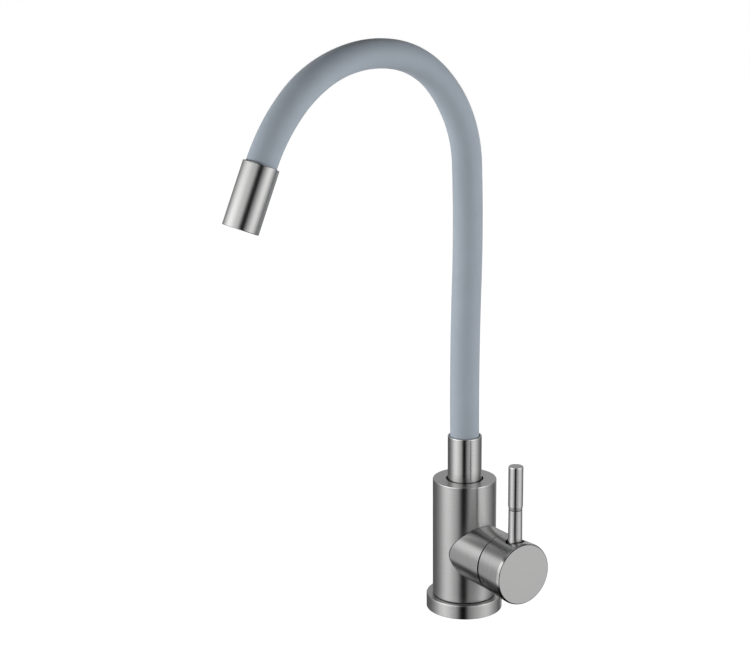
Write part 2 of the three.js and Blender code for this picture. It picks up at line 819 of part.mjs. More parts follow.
const riserRuns = [[footLength, footDegrees], [leanLength, leanDegrees], [riseLength, riseDegrees]];
const crownRuns = [[shoulderLength, shoulderDegrees], [crestLength, crestDegrees], [browLength, browDegrees]];
const hoseRuns = [...riserRuns, ...crownRuns, [fallLength, fallDegrees], [hoseInsertion, 0]];
const hoseStart = new THREE.Vector3(0, 0, hoseFoot);
const lengthOf = (runs) => runs.reduce((sum, [length]) => sum + length, 0);
const crownFrom = lengthOf(riserRuns);
const crownTo = crownFrom + lengthOf(crownRuns);
const outletFrom = crownTo + fallLength;
const hoseLength = outletFrom + hoseInsertion;

function circle(radius, sides) {
  const points = [];
  for (let i = 0; i < sides; i += 1) {
    const angle = (2 * Math.PI * (i + 1 / 2)) / sides;
    points.push(new THREE.Vector2(radius * Math.cos(angle), radius * Math.sin(angle)));
  }
  return points;
}

// A hollow layer of the hose between two distances along it
function hoseLayer(outer, bore, outerSides, boreSides, from, to) {
  const section = new THREE.Shape(circle(outer, outerSides));
  section.holes.push(new THREE.Path(circle(bore, boreSides)));
  const line = new BentLine(hoseRuns, hoseStart, from, to);
  const steps = line.stations.length - 1;
  return new THREE.ExtrudeGeometry(section, { steps, bevelEnabled: false, extrudePath: line });
}

const sleeve = (from, to) => hoseLayer(hoseR, sleeveBoreR, sleeveSides, sleeveBoreSides, from, to);

// Outlet, in a frame whose Z runs from the sleeve's top to its mouth
const hexTop = hoseInsertion + fit;
const adapterTop = hexTop + nippleHexHeight;
const adapterBottom = outletLength - outletLip;
const chamberR = adapterR - adapterWall;
const chamberTop = adapterTop + adapterFloor;
const aeratorR = chamberR - fit;
const aeratorTop = chamberTop + aeratorWasherThickness;
const aeratorBottom = adapterBottom - aeratorRecess;
const aeratorBoreR = aeratorR - aeratorWall;
const insertDiscR = aeratorBoreR - fit;

function outletSleeve() {
  return turned([
    [ferruleBoreR, 0],
    [ferruleR - ferruleChamfer, 0],
    [ferruleR, ferruleChamfer],
    [ferruleR, outletLength - ferruleChamfer],
    [ferruleR - ferruleChamfer, outletLength],
    [ferruleBoreR, outletLength],
  ], roundSides);
}

function outletAdapter() {
  const threadR = nippleThreadDiameter / 2 + fit;
  const threadEnd = adapterTop + nippleThreadLength + fit;
  const bore = waterBoreDiameter / 2;
  return turned([
    [threadR, adapterTop],
    [adapterR, adapterTop],
    [adapterR, adapterBottom],
    [chamberR, adapterBottom],
    [chamberR, chamberTop],
    [bore, chamberTop],
    [bore, threadEnd],
    [threadR, threadEnd],
  ], middleSides);
}

function aeratorHousing() {
  return turned([
    [aeratorBoreR, aeratorTop],
    [aeratorR, aeratorTop],
    [aeratorR, aeratorBottom],
    [aeratorBoreR - aeratorFloorStep, aeratorBottom],
    [aeratorBoreR - aeratorFloorStep, aeratorBottom - aeratorFloor],
    [aeratorBoreR, aeratorBottom - aeratorFloor],
  ], middleSides);
}

// Round disc with a middle hole and rings of holes around it, spread up to its rim
function perforated(radius, bottom, top, holeDiameter, rings, rim) {
  const holes = [rod(holeDiameter / 2, bottom - overrun, top + overrun, hexSides)];
  const pitch = (radius - rim - holeDiameter / 2) / rings;
  for (let i = 1; i <= rings; i += 1) {
    for (let j = 0; j < hexSides * i; j += 1) {
      const angle = (2 * Math.PI * j) / (hexSides * i);
      const hole = rod(holeDiameter / 2, bottom - overrun, top + overrun, hexSides);
      holes.push(hole.translate(pitch * i * Math.cos(angle), pitch * i * Math.sin(angle), 0));
    }
  }
  return cut(rod(radius, bottom, top, smallSides), ...holes);
}

// Assembly
const tap = new THREE.Group();
tap.add(
  piece('base_ring', baseRing(), brushedSteel),
  piece('deck_gasket', deckGasket(), blackRubber),
  piece('inlet_block', inletBlock(), plainSteel),
  piece('body_shell', bodyShell(), brushedSteel),
);

const pipeR = pipeDiameter / 2;
const pipeFrom = blockTop - pipeSocket + fit;
const pipeTo = blockTop + pipeGap + pipeSocket - fit;
for (const [name, side] of [['hot_tube', 1], ['cold_tube', -1]]) {
  const pipe = piece(name, ring(pipeR - pipeWall, pipeR, pipeFrom, pipeTo, smallSides), plainSteel);
  pipe.position.y = side * portY;
  tap.add(pipe);
}
const riserR = riserDiameter / 2;
const riserFrom = bushBottom - riserGap - pipeSocket + fit;
const riserTo = bushBottom + pipeSocket - fit;
tap.add(piece('riser_tube', ring(riserR - pipeWall, riserR, riserFrom, riserTo, smallSides), plainSteel));

// The branch lies along +X at the cartridge's height
const branch = new THREE.Group();
branch.position.z = branchHeight;
branch.rotation.y = Math.PI / 2;
branch.add(
  piece('side_barrel', sideBarrel(), brushedSteel),
  piece('valve_seat', valveSeat(), plainSteel),
  piece('cartridge_base', cartridgeBase(), whitePlastic),
  piece('port_seal_hot', portSeal(portPlaces.hot), blackRubber),
  piece('port_seal_cold', portSeal(portPlaces.cold), blackRubber),
  piece('port_seal_mixed', portSeal(portPlaces.mixed), blackRubber),
  piece('fixed_disc', fixedDisc(), ceramic),
  piece('moving_disc', movingDisc(), ceramic),
  piece('disc_carrier', discCarrier(), greyPlastic),
  piece('cartridge_housing', cartridgeHousing(), whitePlastic),
  piece('cartridge_driver', cartridgeDriver(), greyPlastic),
  piece('retaining_nut', retainingNut(), brass),
  piece('lever_stem', leverStem(), plainSteel),
  piece('handle_cap', handleCap(), brushedSteel),
);
const pin = piece('pivot_pin', rod(pinDiameter / 2, -pinLength / 2, pinLength / 2, tinySides), plainSteel);
pin.position.z = pivotX;
pin.rotation.x = Math.PI / 2;
branch.add(pin);
tap.add(branch);

const lever = new THREE.Group();
lever.position.x = leverX;
lever.add(
  piece('lever_rod', leverRod(), brushedSteel),
  piece('lever_grip', leverGrip(), brushedSteel),
  piece('handle_grub_screw', grubScrew(), plainSteel),
);
tap.add(lever);

// The spout's foot turns in the column
const swivelNut = ring(swivelNutBoreR, swivelNutR, swivelNutBottom, swivelNutTop, middleSides);
tap.add(
  piece('swivel_bush', swivelBush(), brass),
  piece('swivel_nut', swivelNut, darkPlastic),
  piece('swivel_spigot', swivelSpigot(), brass),
  piece('swivel_oring_lower', swivelRing(groovePlaces[0]), blackRubber),
  piece('swivel_oring_upper', swivelRing(groovePlaces[1]), blackRubber),
  piece('lower_ferrule', lowerFerrule(), brushedSteel),
);
const washerTop = washerBottom + washerThickness;
const washerIn = spigotNeckR + fit;
const washerOut = ferruleR - fit;
tap.add(piece('slip_washer', ring(washerIn, washerOut, washerBottom, washerTop, middleSides), darkPlastic));
const lowerNipple = piece('lower_nipple', hoseNipple(), brass);
lowerNipple.position.z = spigotTop;
tap.add(lowerNipple);

// Hose
tap.add(
  piece('hose_sleeve_riser', sleeve(0, crownFrom), siliconeGrey),
  piece('hose_sleeve_crown', sleeve(crownFrom + sleeveJoint, crownTo - sleeveJoint), siliconeGrey),
  piece('hose_sleeve_drop', sleeve(crownTo, hoseLength), siliconeGrey),
  piece('gooseneck_hose', hoseLayer(coreR, coreBoreR, coreSides, coreBoreSides, 0, hoseLength), plainSteel),
  piece('water_tube', hoseLayer(tubeR, tubeBoreR, tubeSides, tubeSides, 0, hoseLength), whitePlastic),
);

// The outlet hangs on the hose's end
const hoseLine = new BentLine(hoseRuns, hoseStart, 0, hoseLength);
const outletEnd = hoseLine.at(outletFrom);
const outlet = new THREE.Group();
outlet.position.copy(outletEnd.place);
outlet.rotation.x = outletEnd.heading;
const upperNipple = piece('upper_nipple', hoseNipple(), brass);
upperNipple.position.z = adapterTop;
upperNipple.rotation.x = Math.PI;
const washerEdge = aeratorR - aeratorWasherWidth;
const screenTop = aeratorTop + fit;
const screenBottom = screenTop + screenThickness;
const coreBottom = aeratorBottom - aeratorFloor;
const coreTop = coreBottom - (coreBottom - screenBottom) * coreDepthShare;
outlet.add(
  upperNipple,
  piece('outlet_sleeve', outletSleeve(), brushedSteel),
  piece('outlet_adapter', outletAdapter(), brass),
  piece('aerator_washer', ring(washerEdge, aeratorR, chamberTop, aeratorTop, middleSides), blackRubber),
  piece('aerator_housing', aeratorHousing(), darkPlastic),
  piece(
    'aerator_screen',
    perforated(insertDiscR, screenTop, screenBottom, screenHoleDiameter, screenHoleRings, screenRim),
    plainSteel),
  piece(
    'aerator_core',
    perforated(insertDiscR, coreTop, coreBottom, coreHoleDiameter, coreHoleRings, coreRim),
    whitePlastic),
);
tap.add(outlet);

export default tap;
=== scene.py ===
# Kitchen mixer tap with a side lever and a flexible silicone-covered spout: its looks.
# Sizes are in millimetres and repeat the CAD source; MM turns them into metres.
import json
import math

import bpy
from mathutils import Matrix, Vector


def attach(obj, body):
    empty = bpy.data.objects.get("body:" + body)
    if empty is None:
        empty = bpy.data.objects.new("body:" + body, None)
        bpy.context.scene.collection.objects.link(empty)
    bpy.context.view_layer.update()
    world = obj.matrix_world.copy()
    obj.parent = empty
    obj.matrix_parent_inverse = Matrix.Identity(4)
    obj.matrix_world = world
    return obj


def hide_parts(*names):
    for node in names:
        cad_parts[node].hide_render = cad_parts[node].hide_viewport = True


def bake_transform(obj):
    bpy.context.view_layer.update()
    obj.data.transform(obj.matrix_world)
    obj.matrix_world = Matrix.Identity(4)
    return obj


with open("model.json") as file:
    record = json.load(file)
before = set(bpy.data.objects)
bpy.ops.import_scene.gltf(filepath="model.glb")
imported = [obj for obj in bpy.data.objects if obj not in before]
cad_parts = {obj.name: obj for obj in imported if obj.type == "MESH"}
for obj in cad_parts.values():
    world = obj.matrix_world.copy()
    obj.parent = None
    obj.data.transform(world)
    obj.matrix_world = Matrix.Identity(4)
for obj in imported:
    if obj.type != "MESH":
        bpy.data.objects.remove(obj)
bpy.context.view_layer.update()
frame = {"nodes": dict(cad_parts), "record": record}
nodes = frame["nodes"]

MM = 0.001

# Sides of the round pieces
FINE_SIDES = 160
SLIM_SIDES = 96
HOSE_SIDES, STRIP_SIDES, TUBE_SIDES = 72, 32, 24
SMALL_HOLE_SIDES = 24

# Faces that meet at more than this stay sharp
SHARP = math.radians(38)

# How far a cutter runs past the face it opens, and past the piece it goes right through
PAST, BEYOND = 1.0, 20.0

# Clearance between a piece and what it sits in
FIT = 0.3

# Foot and column
COLUMN_R = 22.5
COLUMN_BORE_R = 20.3
COLUMN_FOOT = 10.0
COLUMN_NECK_R, COLUMN_NECK_TOP = 21.7, 10.5
COLUMN_TOP = 96.0
COLUMN_CEILING = 93.0
TOP_HOLE_R = 13.1
SADDLE_HOLE_R = 19.4
SADDLE_GAP = 0.5
FOOT_R = 27.0
FOOT_BORE_R = 15.3
GASKET_INNER_R, GASKET_OUTER_R, GASKET_HEIGHT = 19.15, 23.15, 2.0
BLOCK_NECK_R = 15.0
BLOCK_HEAD_R = 20.0
BLOCK_TOP = 26.0
PORT_R, PORT_Y, PORT_DEPTH = 4.4, 7.525, 12.0
WATER_WAY_R = 3.0
PIPE_SOCKET_R, PIPE_SOCKET_FOOT = 4.3, 20.0
STUD_HOLE_R, STUD_HOLE_X, STUD_HOLE_DEPTH = 2.5, 9.75, 12.0

# Branch and lever
BRANCH_Z = 46.1
BRANCH_R = 20.5
BRANCH_BORE_R = 17.8
BRANCH_THREAD_R = 18.9
THREAD_FROM = 35.7
BRANCH_START_X, MOUTH_X = 6.0, 42.6
# A near-black ring in the gap where the branch meets the column, as painted shade of that gap
SEAM_SHADE_R, SEAM_SHADE_WALL, SEAM_SHADE_GAP = 20.4, 0.2, 0.02
CAP_RIM_X = 43.2
CAP_END_X, CAP_END_R = 68.3, 21.85
CAP_END_INNER_X = 65.1
CAP_WALL = 1.2
CAP_SLANT = math.atan(2.5 / (2 * BRANCH_R))
# The crowned edge of the cap's end: how far inside its radius, and how far short of its face
CAP_CROWN = [(0, 2.4), (0.08, 1.6), (0.27, 0.85), (0.48, 0.38), (0.57, 0.18), (1.0, 0), (1.15, 0)]
DOME_CENTRE_X, DOME_R, DOME_WALL, NUT_TOP_X = 30.5, 22.2, 1.0, 41.85
DOME_DEGREES = (56.5, 54, 51, 48)
HUB_X, HUB_R, HUB_BORE_R, SOCKET_END_X = 47.5, 8.6, 6.2, 60.0
LEVER_X = 58.4
ROD_HOLE_R = 6.55
ROD_SEAT = 61.475
ROD_THREAD_R, ROD_THREAD_FOOT = 2.8, 55.5
ROD_FOOT_R = 4.95
ROD_HEAD, ROD_HEAD_R = 90.175, 4.75
ROD_STUD_R, ROD_STUD_TOP = 2.4, 102.175
GRIP_FOOT = 90.475
GRIP_TOP = 121.075
GRIP_R = 5.1
GRIP_TAPER, GRIP_TAPER_HEIGHT = 0.5, 2.4

# Swivel and sleeves of the spout
SWIVEL_NUT_R, SWIVEL_NUT_BORE_R = 13.2, 10.1
SWIVEL_NUT_FOOT, SWIVEL_NUT_TOP = 87.7, 94.3
SLEEVE_R = 12.0
SLEEVE_BORE_R = 10.6
FERRULE_FOOT, FERRULE_TOP = 95.3, 127.7
FERRULE_THREAD_R, FERRULE_THREAD_TOP = 10.1, 104.3
OUTLET_LENGTH = 42.5
HOSE_INSERTION = OUTLET_LENGTH / 3
ADAPTER_R, ADAPTER_TOP, ADAPTER_END = 10.3, 17.5, 41.5
ADAPTER_BORE_R, ADAPTER_BORE_END, ADAPTER_NECK_R = 5.8, 24.3, 4.5
CHAMBER_R, CHAMBER_TOP = 9.3, 26.2
AERATOR_R, AERATOR_BORE_R, AERATOR_LIP_R = 9.0, 7.7, 6.7
AERATOR_TOP, AERATOR_END, AERATOR_FLOOR = 27.6, 41.0, 39.8
AERATOR_CORE_R, AERATOR_CORE_TOP = 7.4, 32.2
CORE_HOLE_R, CORE_HOLE_PITCH, CORE_HOLE_RINGS = 1.0, 2.8, 2
CORE_CUT_FROM, CORE_CUT_TO = 30, 42

# Radii of broken edges
FOOT_EDGE, INLET_EDGE = 0.15, 0.3
COLUMN_EDGE, TOP_HOLE_EDGE = 0.15, 0.2
MOUTH_EDGE, THREAD_EDGE = 0.12, 0.2
ROD_EDGE, GRIP_EDGE, GRIP_BLEND = 0.25, 0.15, 3.0
SWIVEL_NUT_EDGE = 0.2
SLEEVE_FOOT_EDGE, SLEEVE_BORE_EDGE, OUTLET_EDGE = 0.2, 0.25, 0.35
ADAPTER_EDGE, AERATOR_EDGE, AERATOR_LIP_EDGE = 0.2, 0.4, 0.3

# Width and height of the turned chamfers, on the sleeves and column, and on the foot ring and grip
SMALL_CHAMFER, LARGE_CHAMFER = (0.22, 0.45), (0.3, 0.6)

# Hose: its layers, and its middle line as runs of [length, turn in degrees]
HOSE_R, HOSE_BORE_R = 10.2, 8.1
CORE_R, CORE_BORE_R = 7.5, 6.0
TUBE_R, TUBE_BORE_R = 5.4, 4.2
STRIP_PITCH, STRIP_GROOVE = 3.0, 0.5
# How far apart the rings of each layer's mesh are
SLEEVE_STEP, STRIP_STEP, TUBE_STEP = 1.5, 0.75, 3.0
HOSE_FOOT = 107.3
RISER_RUNS = [(18.0, 0.8), (110.9, -2.8), (83.8, 4.3)]
CROWN_RUNS = [(64.5, 41.6), (39.8, 36.4), (83.7, 57.0)]
HOSE_RUNS = RISER_RUNS + CROWN_RUNS + [(44.3, 20.2), (HOSE_INSERTION, 0.0)]
HOSE_LENGTH = sum(length for length, _ in HOSE_RUNS)
CROWN_FROM = sum(length for length, _ in RISER_RUNS)
CROWN_TO = CROWN_FROM + sum(length for length, _ in CROWN_RUNS)
# The sleeve is stretched a little thinner over the crown, between these distances along it
THIN_FROM, THIN_FULL, THIN_LEAVE, THIN_TO, THINNED = 250.0, 288.0, 352.0, 392.0, 0.55


# Meshes


def mesh_object(name, points, faces, place=None):
    """A smooth mesh of points in mm, sharp where its faces meet at an angle."""
    mesh = bpy.data.meshes.new(name)
    mesh.from_pydata([Vector(p) * MM for p in points], [], faces)
    mesh.validate()
    mesh.shade_smooth()
    mesh.set_sharp_from_angle(angle=SHARP)
    obj = bpy.data.objects.new(name, mesh)
    bpy.context.scene.collection.objects.link(obj)
    if place is not None:
        obj.matrix_world = place
    return obj


def rounded(outline, hold=0.12, steps=5):
    """Corner points (r, z, radius) with round corners, and a holding point beside each arc."""
    points = []
    for i, corner in enumerate(outline):
        here = Vector(corner[:2])
        radius = corner[2] if len(corner) > 2 else 0
        before = Vector(outline[i - 1][:2]) - here
        after = Vector(outline[(i + 1) % len(outline)][:2]) - here
        if not radius:
            points.append(tuple(here))
            continue
        half = before.angle(after) / 2
        reach = radius / math.tan(half)
        a, b = before.normalized(), after.normalized()
        centre = here + (a + b).normalized() * radius / math.sin(half)
        start, end = here + a * reach, here + b * reach
        if before.length > 2 * (reach + hold):
            points.append(tuple(start + a * hold))
        for k in range(steps + 1):
            way = (start - centre).lerp(end - centre, k / steps).normalized()
            points.append(tuple(centre + way * radius))
        if after.length > 2 * (reach + hold):
            points.append(tuple(end + b * hold))
    return points


def lathe(name, outline, sides, place=None):
    """A round piece from a closed outline of (r, z) or (r, z, corner radius), about its Z."""
    line = rounded(outline)
    points, rings = [], []
    for r, z in line:
        if r < 1e-6:
            rings.append([len(points)] * sides)
            points.append((0, 0, z))
            continue
        rings.append(list(range(len(points), len(points) + sides)))
        for k in range(sides):
            angle = 2 * math.pi * k / sides
            points.append((r * math.cos(angle), r * math.sin(angle), z))
    faces = []
    for i, ring in enumerate(rings):
        other = rings[(i + 1) % len(rings)]
        if ring[0] == ring[1] and other[0] == other[1]:
            continue
        for k in range(sides):
            m = (k + 1) % sides
            corners = [ring[k], ring[m], other[m], other[k]]
            faces.append([c for j, c in enumerate(corners) if c != corners[j - 1]])
    return mesh_object(name, points, faces, place)


def turned_edge(radius, end, chamfer, side=1):
    """Outline of a wall's upper end, or with a side of -1 of its lower end, with a narrow chamfer."""
    wide, high = chamfer
    holding = 1.6 * high
    return [(radius, end - holding * side), (radius, end - high * side), (radius - wide, end)]


def shifted(x, y, z=0):
    """A place moved by x, y and z in mm."""
    return Matrix.Translation(Vector((x, y, z)) * MM)


def rod_shape(radius, low, high, place=None, sides=64):
    """A round cutter."""
    return lathe("cutter", [(0, low), (radius, low), (radius, high), (0, high)], sides, place)


def box_shape(low, high, place=None):
    """A square cutter between two corners."""
    corners = [(x, y, z) for x in (low[0], high[0]) for y in (low[1], high[1]) for z in (low[2], high[2])]
    sides = [(0, 1, 3, 2), (4, 6, 7, 5), (0, 4, 5, 1), (2, 3, 7, 6), (0, 2, 6, 4), (1, 5, 7, 3)]
    return mesh_object("cutter", corners, sides, place)


def carve(obj, cutters, walls=()):
    """Cuts the cutters out of obj. Round walls, as (least, most) radius about its Z, stay smooth."""
    slack, steepest = 0.004, 0.06
    for cutter in cutters:
        change = obj.modifiers.new("carve", "BOOLEAN")
        change.operation = "DIFFERENCE"
        change.solver = "EXACT"
        change.object = cutter
    bpy.context.view_layer.update()
    graph = bpy.context.evaluated_depsgraph_get()
    mesh = bpy.data.meshes.new_from_object(obj.evaluated_get(graph))
    obj.modifiers.clear()
    old = obj.data
    obj.data = mesh
    bpy.data.meshes.remove(old)
    for cutter in cutters:
        bpy.data.objects.remove(cutter)
    mesh.set_sharp_from_angle(angle=SHARP)
    normals = [n.vector.copy() for n in mesh.corner_normals]
    for face in mesh.polygons:
        reach = [math.hypot(*mesh.vertices[v].co[:2]) / MM for v in face.vertices]
        for least, most in walls:
            within = least - slack < min(reach) and max(reach) < most + slack
            if within and abs(face.normal.z) < steepest:
                for corner in face.loop_indices:
                    x, y, _ = mesh.vertices[mesh.loops[corner].vertex_index].co
                    across = Vector((x, y, 0)).normalized() * math.hypot(*face.normal[:2])
                    if across.dot(face.normal) < 0:
                        across = -across
                    normals[corner] = (across.x, across.y, face.normal.z)
    mesh.normals_split_custom_set(normals)
    return obj


def hose_at(distance):
    """Place and heading of the hose's middle line, from straight up towards -Y."""
    place, heading, left = Vector((0, 0, HOSE_FOOT)), 0.0, distance
    for length, degrees in HOSE_RUNS:
        used = min(left, length)
        turn = math.radians(degrees) * used / length
        chord = used if abs(turn) < 1e-9 else used * math.sin(turn / 2) / (turn / 2)
        middle = heading + turn / 2
        place = place + Vector((0, -math.sin(middle), math.cos(middle))) * chord
        heading += turn
        left -= used
        if left <= 0:
            break
    return place, heading


def smooth_step(value, low, high):
    share = min(1.0, max(0.0, (value - low) / (high - low)))
    return share * share * (3 - 2 * share)


def thinning(distance):
    """How much the sleeve's radius shrinks over the crown."""
    full = smooth_step(distance, THIN_FROM, THIN_FULL)
    return -THINNED * full * (1 - smooth_step(distance, THIN_LEAVE, THIN_TO))


def strip_ripple(distance):
    """Ridges of the wound strip inside the sleeve."""
    return 0.5 * STRIP_GROOVE * (math.cos(2 * math.pi * distance / STRIP_PITCH) - 1)


def hose_layer(name, outer, bore, sides, step, relief=None):
    """A tube along the hose's line, with closed ends and an optional relief outside."""
    count = round(HOSE_LENGTH / step)
    points, faces = [], []
    for i in range(count + 1):
        distance = HOSE_LENGTH * i / count
        place, heading = hose_at(distance)
        up = Vector((0, math.cos(heading), math.sin(heading)))
        swell = relief(distance) if relief else 0
        for radius in (outer + swell, bore):
            for k in range(sides):
                angle = 2 * math.pi * k / sides
                side = Vector((math.cos(angle), 0, 0)) + up * math.sin(angle)
                points.append(place + side * radius)
    for i in range(count):
        for k in range(sides):
            m = (k + 1) % sides
            here, there = 2 * sides * i, 2 * sides * (i + 1)
            faces.append((here + k, there + k, there + m, here + m))
            faces.append((here + sides + k, here + sides + m, there + sides + m, there + sides + k))
    last = 2 * sides * count
    for k in range(sides):
        m = (k + 1) % sides
        faces.append((k, m, sides + m, sides + k))
        faces.append((last + k, last + sides + k, last + sides + m, last + m))
    return mesh_object(name, points, faces)


# Materials


class Finish:
    """A node material around one Principled shader."""

    def __init__(self, name):
        self.material = bpy.data.materials.new(name)
        self.material.use_nodes = True
        self.tree = self.material.node_tree
        self.shader = self.tree.nodes["Principled BSDF"]
        self.place = self.tree.nodes.new("ShaderNodeTexCoord").outputs["Object"]

    def link(self, source, target):
        self.tree.links.new(source, target)

    def noise(self, scale, detail=2.0, roughness=0.5):
        """Noise over the object's own coordinates, scaled along each axis, per metre."""
        mapping = self.tree.nodes.new("ShaderNodeMapping")
        mapping.inputs["Scale"].default_value = scale
        self.link(self.place, mapping.inputs["Vector"])
        noise = self.tree.nodes.new("ShaderNodeTexNoise")
        noise.inputs["Scale"].default_value = 1.0
        noise.inputs["Detail"].default_value = detail
        noise.inputs["Roughness"].default_value = roughness
        self.link(mapping.outputs["Vector"], noise.inputs["Vector"])
        return noise.outputs["Fac"]

    def spread(self, value, low, high):
        """The value's middle half spread over low to high."""
        node = self.tree.nodes.new("ShaderNodeMapRange")
        node.inputs["From Min"].default_value = 0.25
        node.inputs["From Max"].default_value = 0.75
        node.inputs["To Min"].default_value = low
        node.inputs["To Max"].default_value = high
        self.link(value, node.inputs["Value"])
        return node.outputs["Result"]

    def tint(self, value, dark, light):
        """A colour between dark and light."""
        ramp = self.tree.nodes.new("ShaderNodeValToRGB")
        ramp.color_ramp.elements[0].position = 0.3
        ramp.color_ramp.elements[0].color = (*dark, 1)
        ramp.color_ramp.elements[1].position = 0.7
        ramp.color_ramp.elements[1].color = (*light, 1)
        self.link(value, ramp.inputs["Fac"])
        self.link(ramp.outputs["Color"], self.shader.inputs["Base Color"])

    def bump(self, value, height):
        """Relief of the given height in mm."""
        node = self.tree.nodes.new("ShaderNodeBump")
        node.inputs["Distance"].default_value = height * MM
        self.link(value, node.inputs["Height"])
        previous = self.shader.inputs["Normal"].links
        if previous:
            self.link(previous[0].from_socket, node.inputs["Normal"])
        self.link(node.outputs["Normal"], self.shader.inputs["Normal"])

    def set(self, **values):
        for key, value in values.items():
            self.shader.inputs[key.replace("_", " ").title().replace("Ior", "IOR")].default_value = value


def shade(colour, factor):
    return tuple(min(1.0, c * factor) for c in colour)


STEEL = (0.594, 0.592, 0.589)


def turned_steel(name, rough=0.25, colour=STEEL):
    """Stainless steel brushed round its own Z."""
    finish = Finish(name)
    finish.set(metallic=1.0, anisotropic=1.0, anisotropic_rotation=0.25)
    tangent = finish.tree.nodes.new("ShaderNodeTangent")
    tangent.direction_type = "RADIAL"
    tangent.axis = "Z"
    finish.link(tangent.outputs["Tangent"], finish.shader.inputs["Tangent"])
    streaks = finish.noise((70, 70, 1500), 3.0, 0.6)
    lines = finish.noise((45, 45, 5200), 2.0, 0.6)
    finish.tint(streaks, shade(colour, 0.96), shade(colour, 1.03))
    finish.link(finish.spread(streaks, rough - 0.02, rough + 0.02), finish.shader.inputs["Roughness"])
    finish.bump(lines, 0.0005)
    return finish.material


def flat_steel(name, rough, colour, relief=0.002):
    """Stainless steel with an even fine grain, for faces and inner pieces."""
    finish = Finish(name)
    finish.set(metallic=1.0)
    grains = finish.noise((1500, 1500, 1500), 3.0, 0.6)
    finish.tint(grains, shade(colour, 0.93), shade(colour, 1.06))
    finish.link(finish.spread(grains, rough - 0.04, rough + 0.05), finish.shader.inputs["Roughness"])
    finish.bump(finish.noise((3200, 3200, 3200), 2.0, 0.5), relief)
    return finish.material


def moulded(name, colour, rough, scale=900, relief=0.003, variation=0.05, metallic=0.0, specular=0.5):
    """Plastic, rubber, ceramic or brass with a fine moulded or machined surface."""
    finish = Finish(name)
    finish.set(metallic=metallic, specular_ior_level=specular)
    cloud = finish.noise((90, 90, 90), 3.0, 0.5)
    finish.tint(cloud, shade(colour, 1 - variation), shade(colour, 1 + variation))
    finish.link(finish.spread(cloud, rough - 0.04, rough + 0.04), finish.shader.inputs["Roughness"])
    finish.bump(finish.noise((scale, scale, scale), 2.0, 0.5), relief)
    return finish.material


def silicone_finish(name):
    """Matte silicone with a faint mottle and a fine moulded surface."""
    colour = (0.308, 0.351, 0.398)
    finish = Finish(name)
    finish.set(specular_ior_level=0.35, sheen_weight=0.16, sheen_roughness=0.5)
    cloud = finish.noise((55, 55, 55), 4.0, 0.55)
    finish.tint(cloud, shade(colour, 0.97), shade(colour, 1.03))
    finish.link(finish.spread(cloud, 0.52, 0.6), finish.shader.inputs["Roughness"])
    finish.bump(finish.noise((1400, 1400, 1400), 3.0, 0.6), 0.004)
    return finish.material


# Narrow edges are told by how level their faces are: a chamfer's, and the bevel's on the cap
CHAMFER_LEVEL, BEVEL_LEVEL = (0.42, 0.5), (0.9, 0.95)
# A face above this is a flat end, and one deeper than SKIN behind the outside is an inner one
END_LEVEL, SKIN = 0.98, 0.6

satin = turned_steel("satin_steel_turned")
satin_broad = turned_steel("satin_steel_broad", 0.33)
satin_fine = turned_steel("satin_steel_fine", 0.22, shade(STEEL, 1.04))
satin_face = flat_steel("satin_steel_face", 0.36, shade(STEEL, 0.92))
# Smoother steel on the narrow chamfers, as a polished edge, with its colour raised above the steel's as a
# painted highlight along the edges
satin_edge_highlight = flat_steel("satin_steel_edge_highlight", 0.2, shade(STEEL, 1.12), relief=0.0005)
# Near-black steel: painted shade for inner faces and for gaps where shade falls
painted_shade_steel = flat_steel("painted_shade_inside", 0.5, (0.02, 0.0195, 0.019))
finishes = {
    "satin_steel": satin,
    "plain_steel": flat_steel("plain_steel", 0.42, shade(STEEL, 0.85)),
    "brass": moulded("brass", (0.66, 0.47, 0.20), 0.34, 1600, 0.002, 0.07, 1.0),
    "silicone": silicone_finish("silicone_grey"),
    "rubber": moulded("rubber_black", (0.022, 0.022, 0.023), 0.62, 1100, 0.004, 0.15, 0.0, 0.4),
    "dark_plastic": moulded("plastic_dark", (0.03, 0.031, 0.033), 0.45, 1200, 0.003, 0.12),
    "white_plastic": moulded("plastic_white", (0.74, 0.73, 0.69), 0.42, 1000, 0.003, 0.03),
    "grey_plastic": moulded("plastic_grey", (0.15, 0.16, 0.17), 0.45, 1000, 0.003, 0.06),
    "ceramic": moulded("ceramic_white", (0.84, 0.83, 0.79), 0.18, 700, 0.001, 0.02),
}
turned_look = {"finish": satin_fine, "faces": satin_face, "edges": satin_edge_highlight}
for row in frame["record"]["subparts"]:
    mesh = nodes[row["node"]].data
    mesh.materials.clear()
    mesh.materials.append(finishes[row["material_slot"]])


def add_finish(obj, material, wanted):
    """Puts a further material on the faces of obj that are wanted."""
    obj.data.materials.append(material)
    for face in obj.data.polygons:
        if wanted(face):
            face.material_index = len(obj.data.materials) - 1


def at_flat_end(face):
    return abs(face.normal.z) > END_LEVEL


def at_narrow_edge(face):
    level = face.normal.z
    return CHAMFER_LEVEL[0] < abs(level) < CHAMFER_LEVEL[1] or BEVEL_LEVEL[0] < level < BEVEL_LEVEL[1]


def dress(obj, slot, body, *stands_for, finish=None, faces=None, edges=None):
    """Gives obj its finish and body, and if wanted a finish for flat ends and one for narrow edges."""
    obj.data.materials.clear()
    obj.data.materials.append(finish or finishes[slot])
    if faces:
        add_finish(obj, faces, at_flat_end)
    if edges:
        add_finish(obj, edges, at_narrow_edge)
    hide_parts(*stands_for)
    if body:
        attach(obj, body)
    return obj


def paint_shade_inside(obj, low, high, radius, end_radius=None):
    """Near-black steel on the faces behind the outer surface between low and high, but not on its ends:
    painted shade for the inside of bores and hollows.
    """
    flare = ((end_radius or radius) - radius) / (high - low)

    def inside(face):
        x, y, z = face.center / MM
        deep = radius + flare * (z - low) - math.hypot(x, y) > SKIN
        at_end = at_flat_end(face) and (z < low + 0.1 or z > high - 0.1)
        return deep and not at_end

    add_finish(obj, painted_shade_steel, inside)


# Pieces of the foot and the column

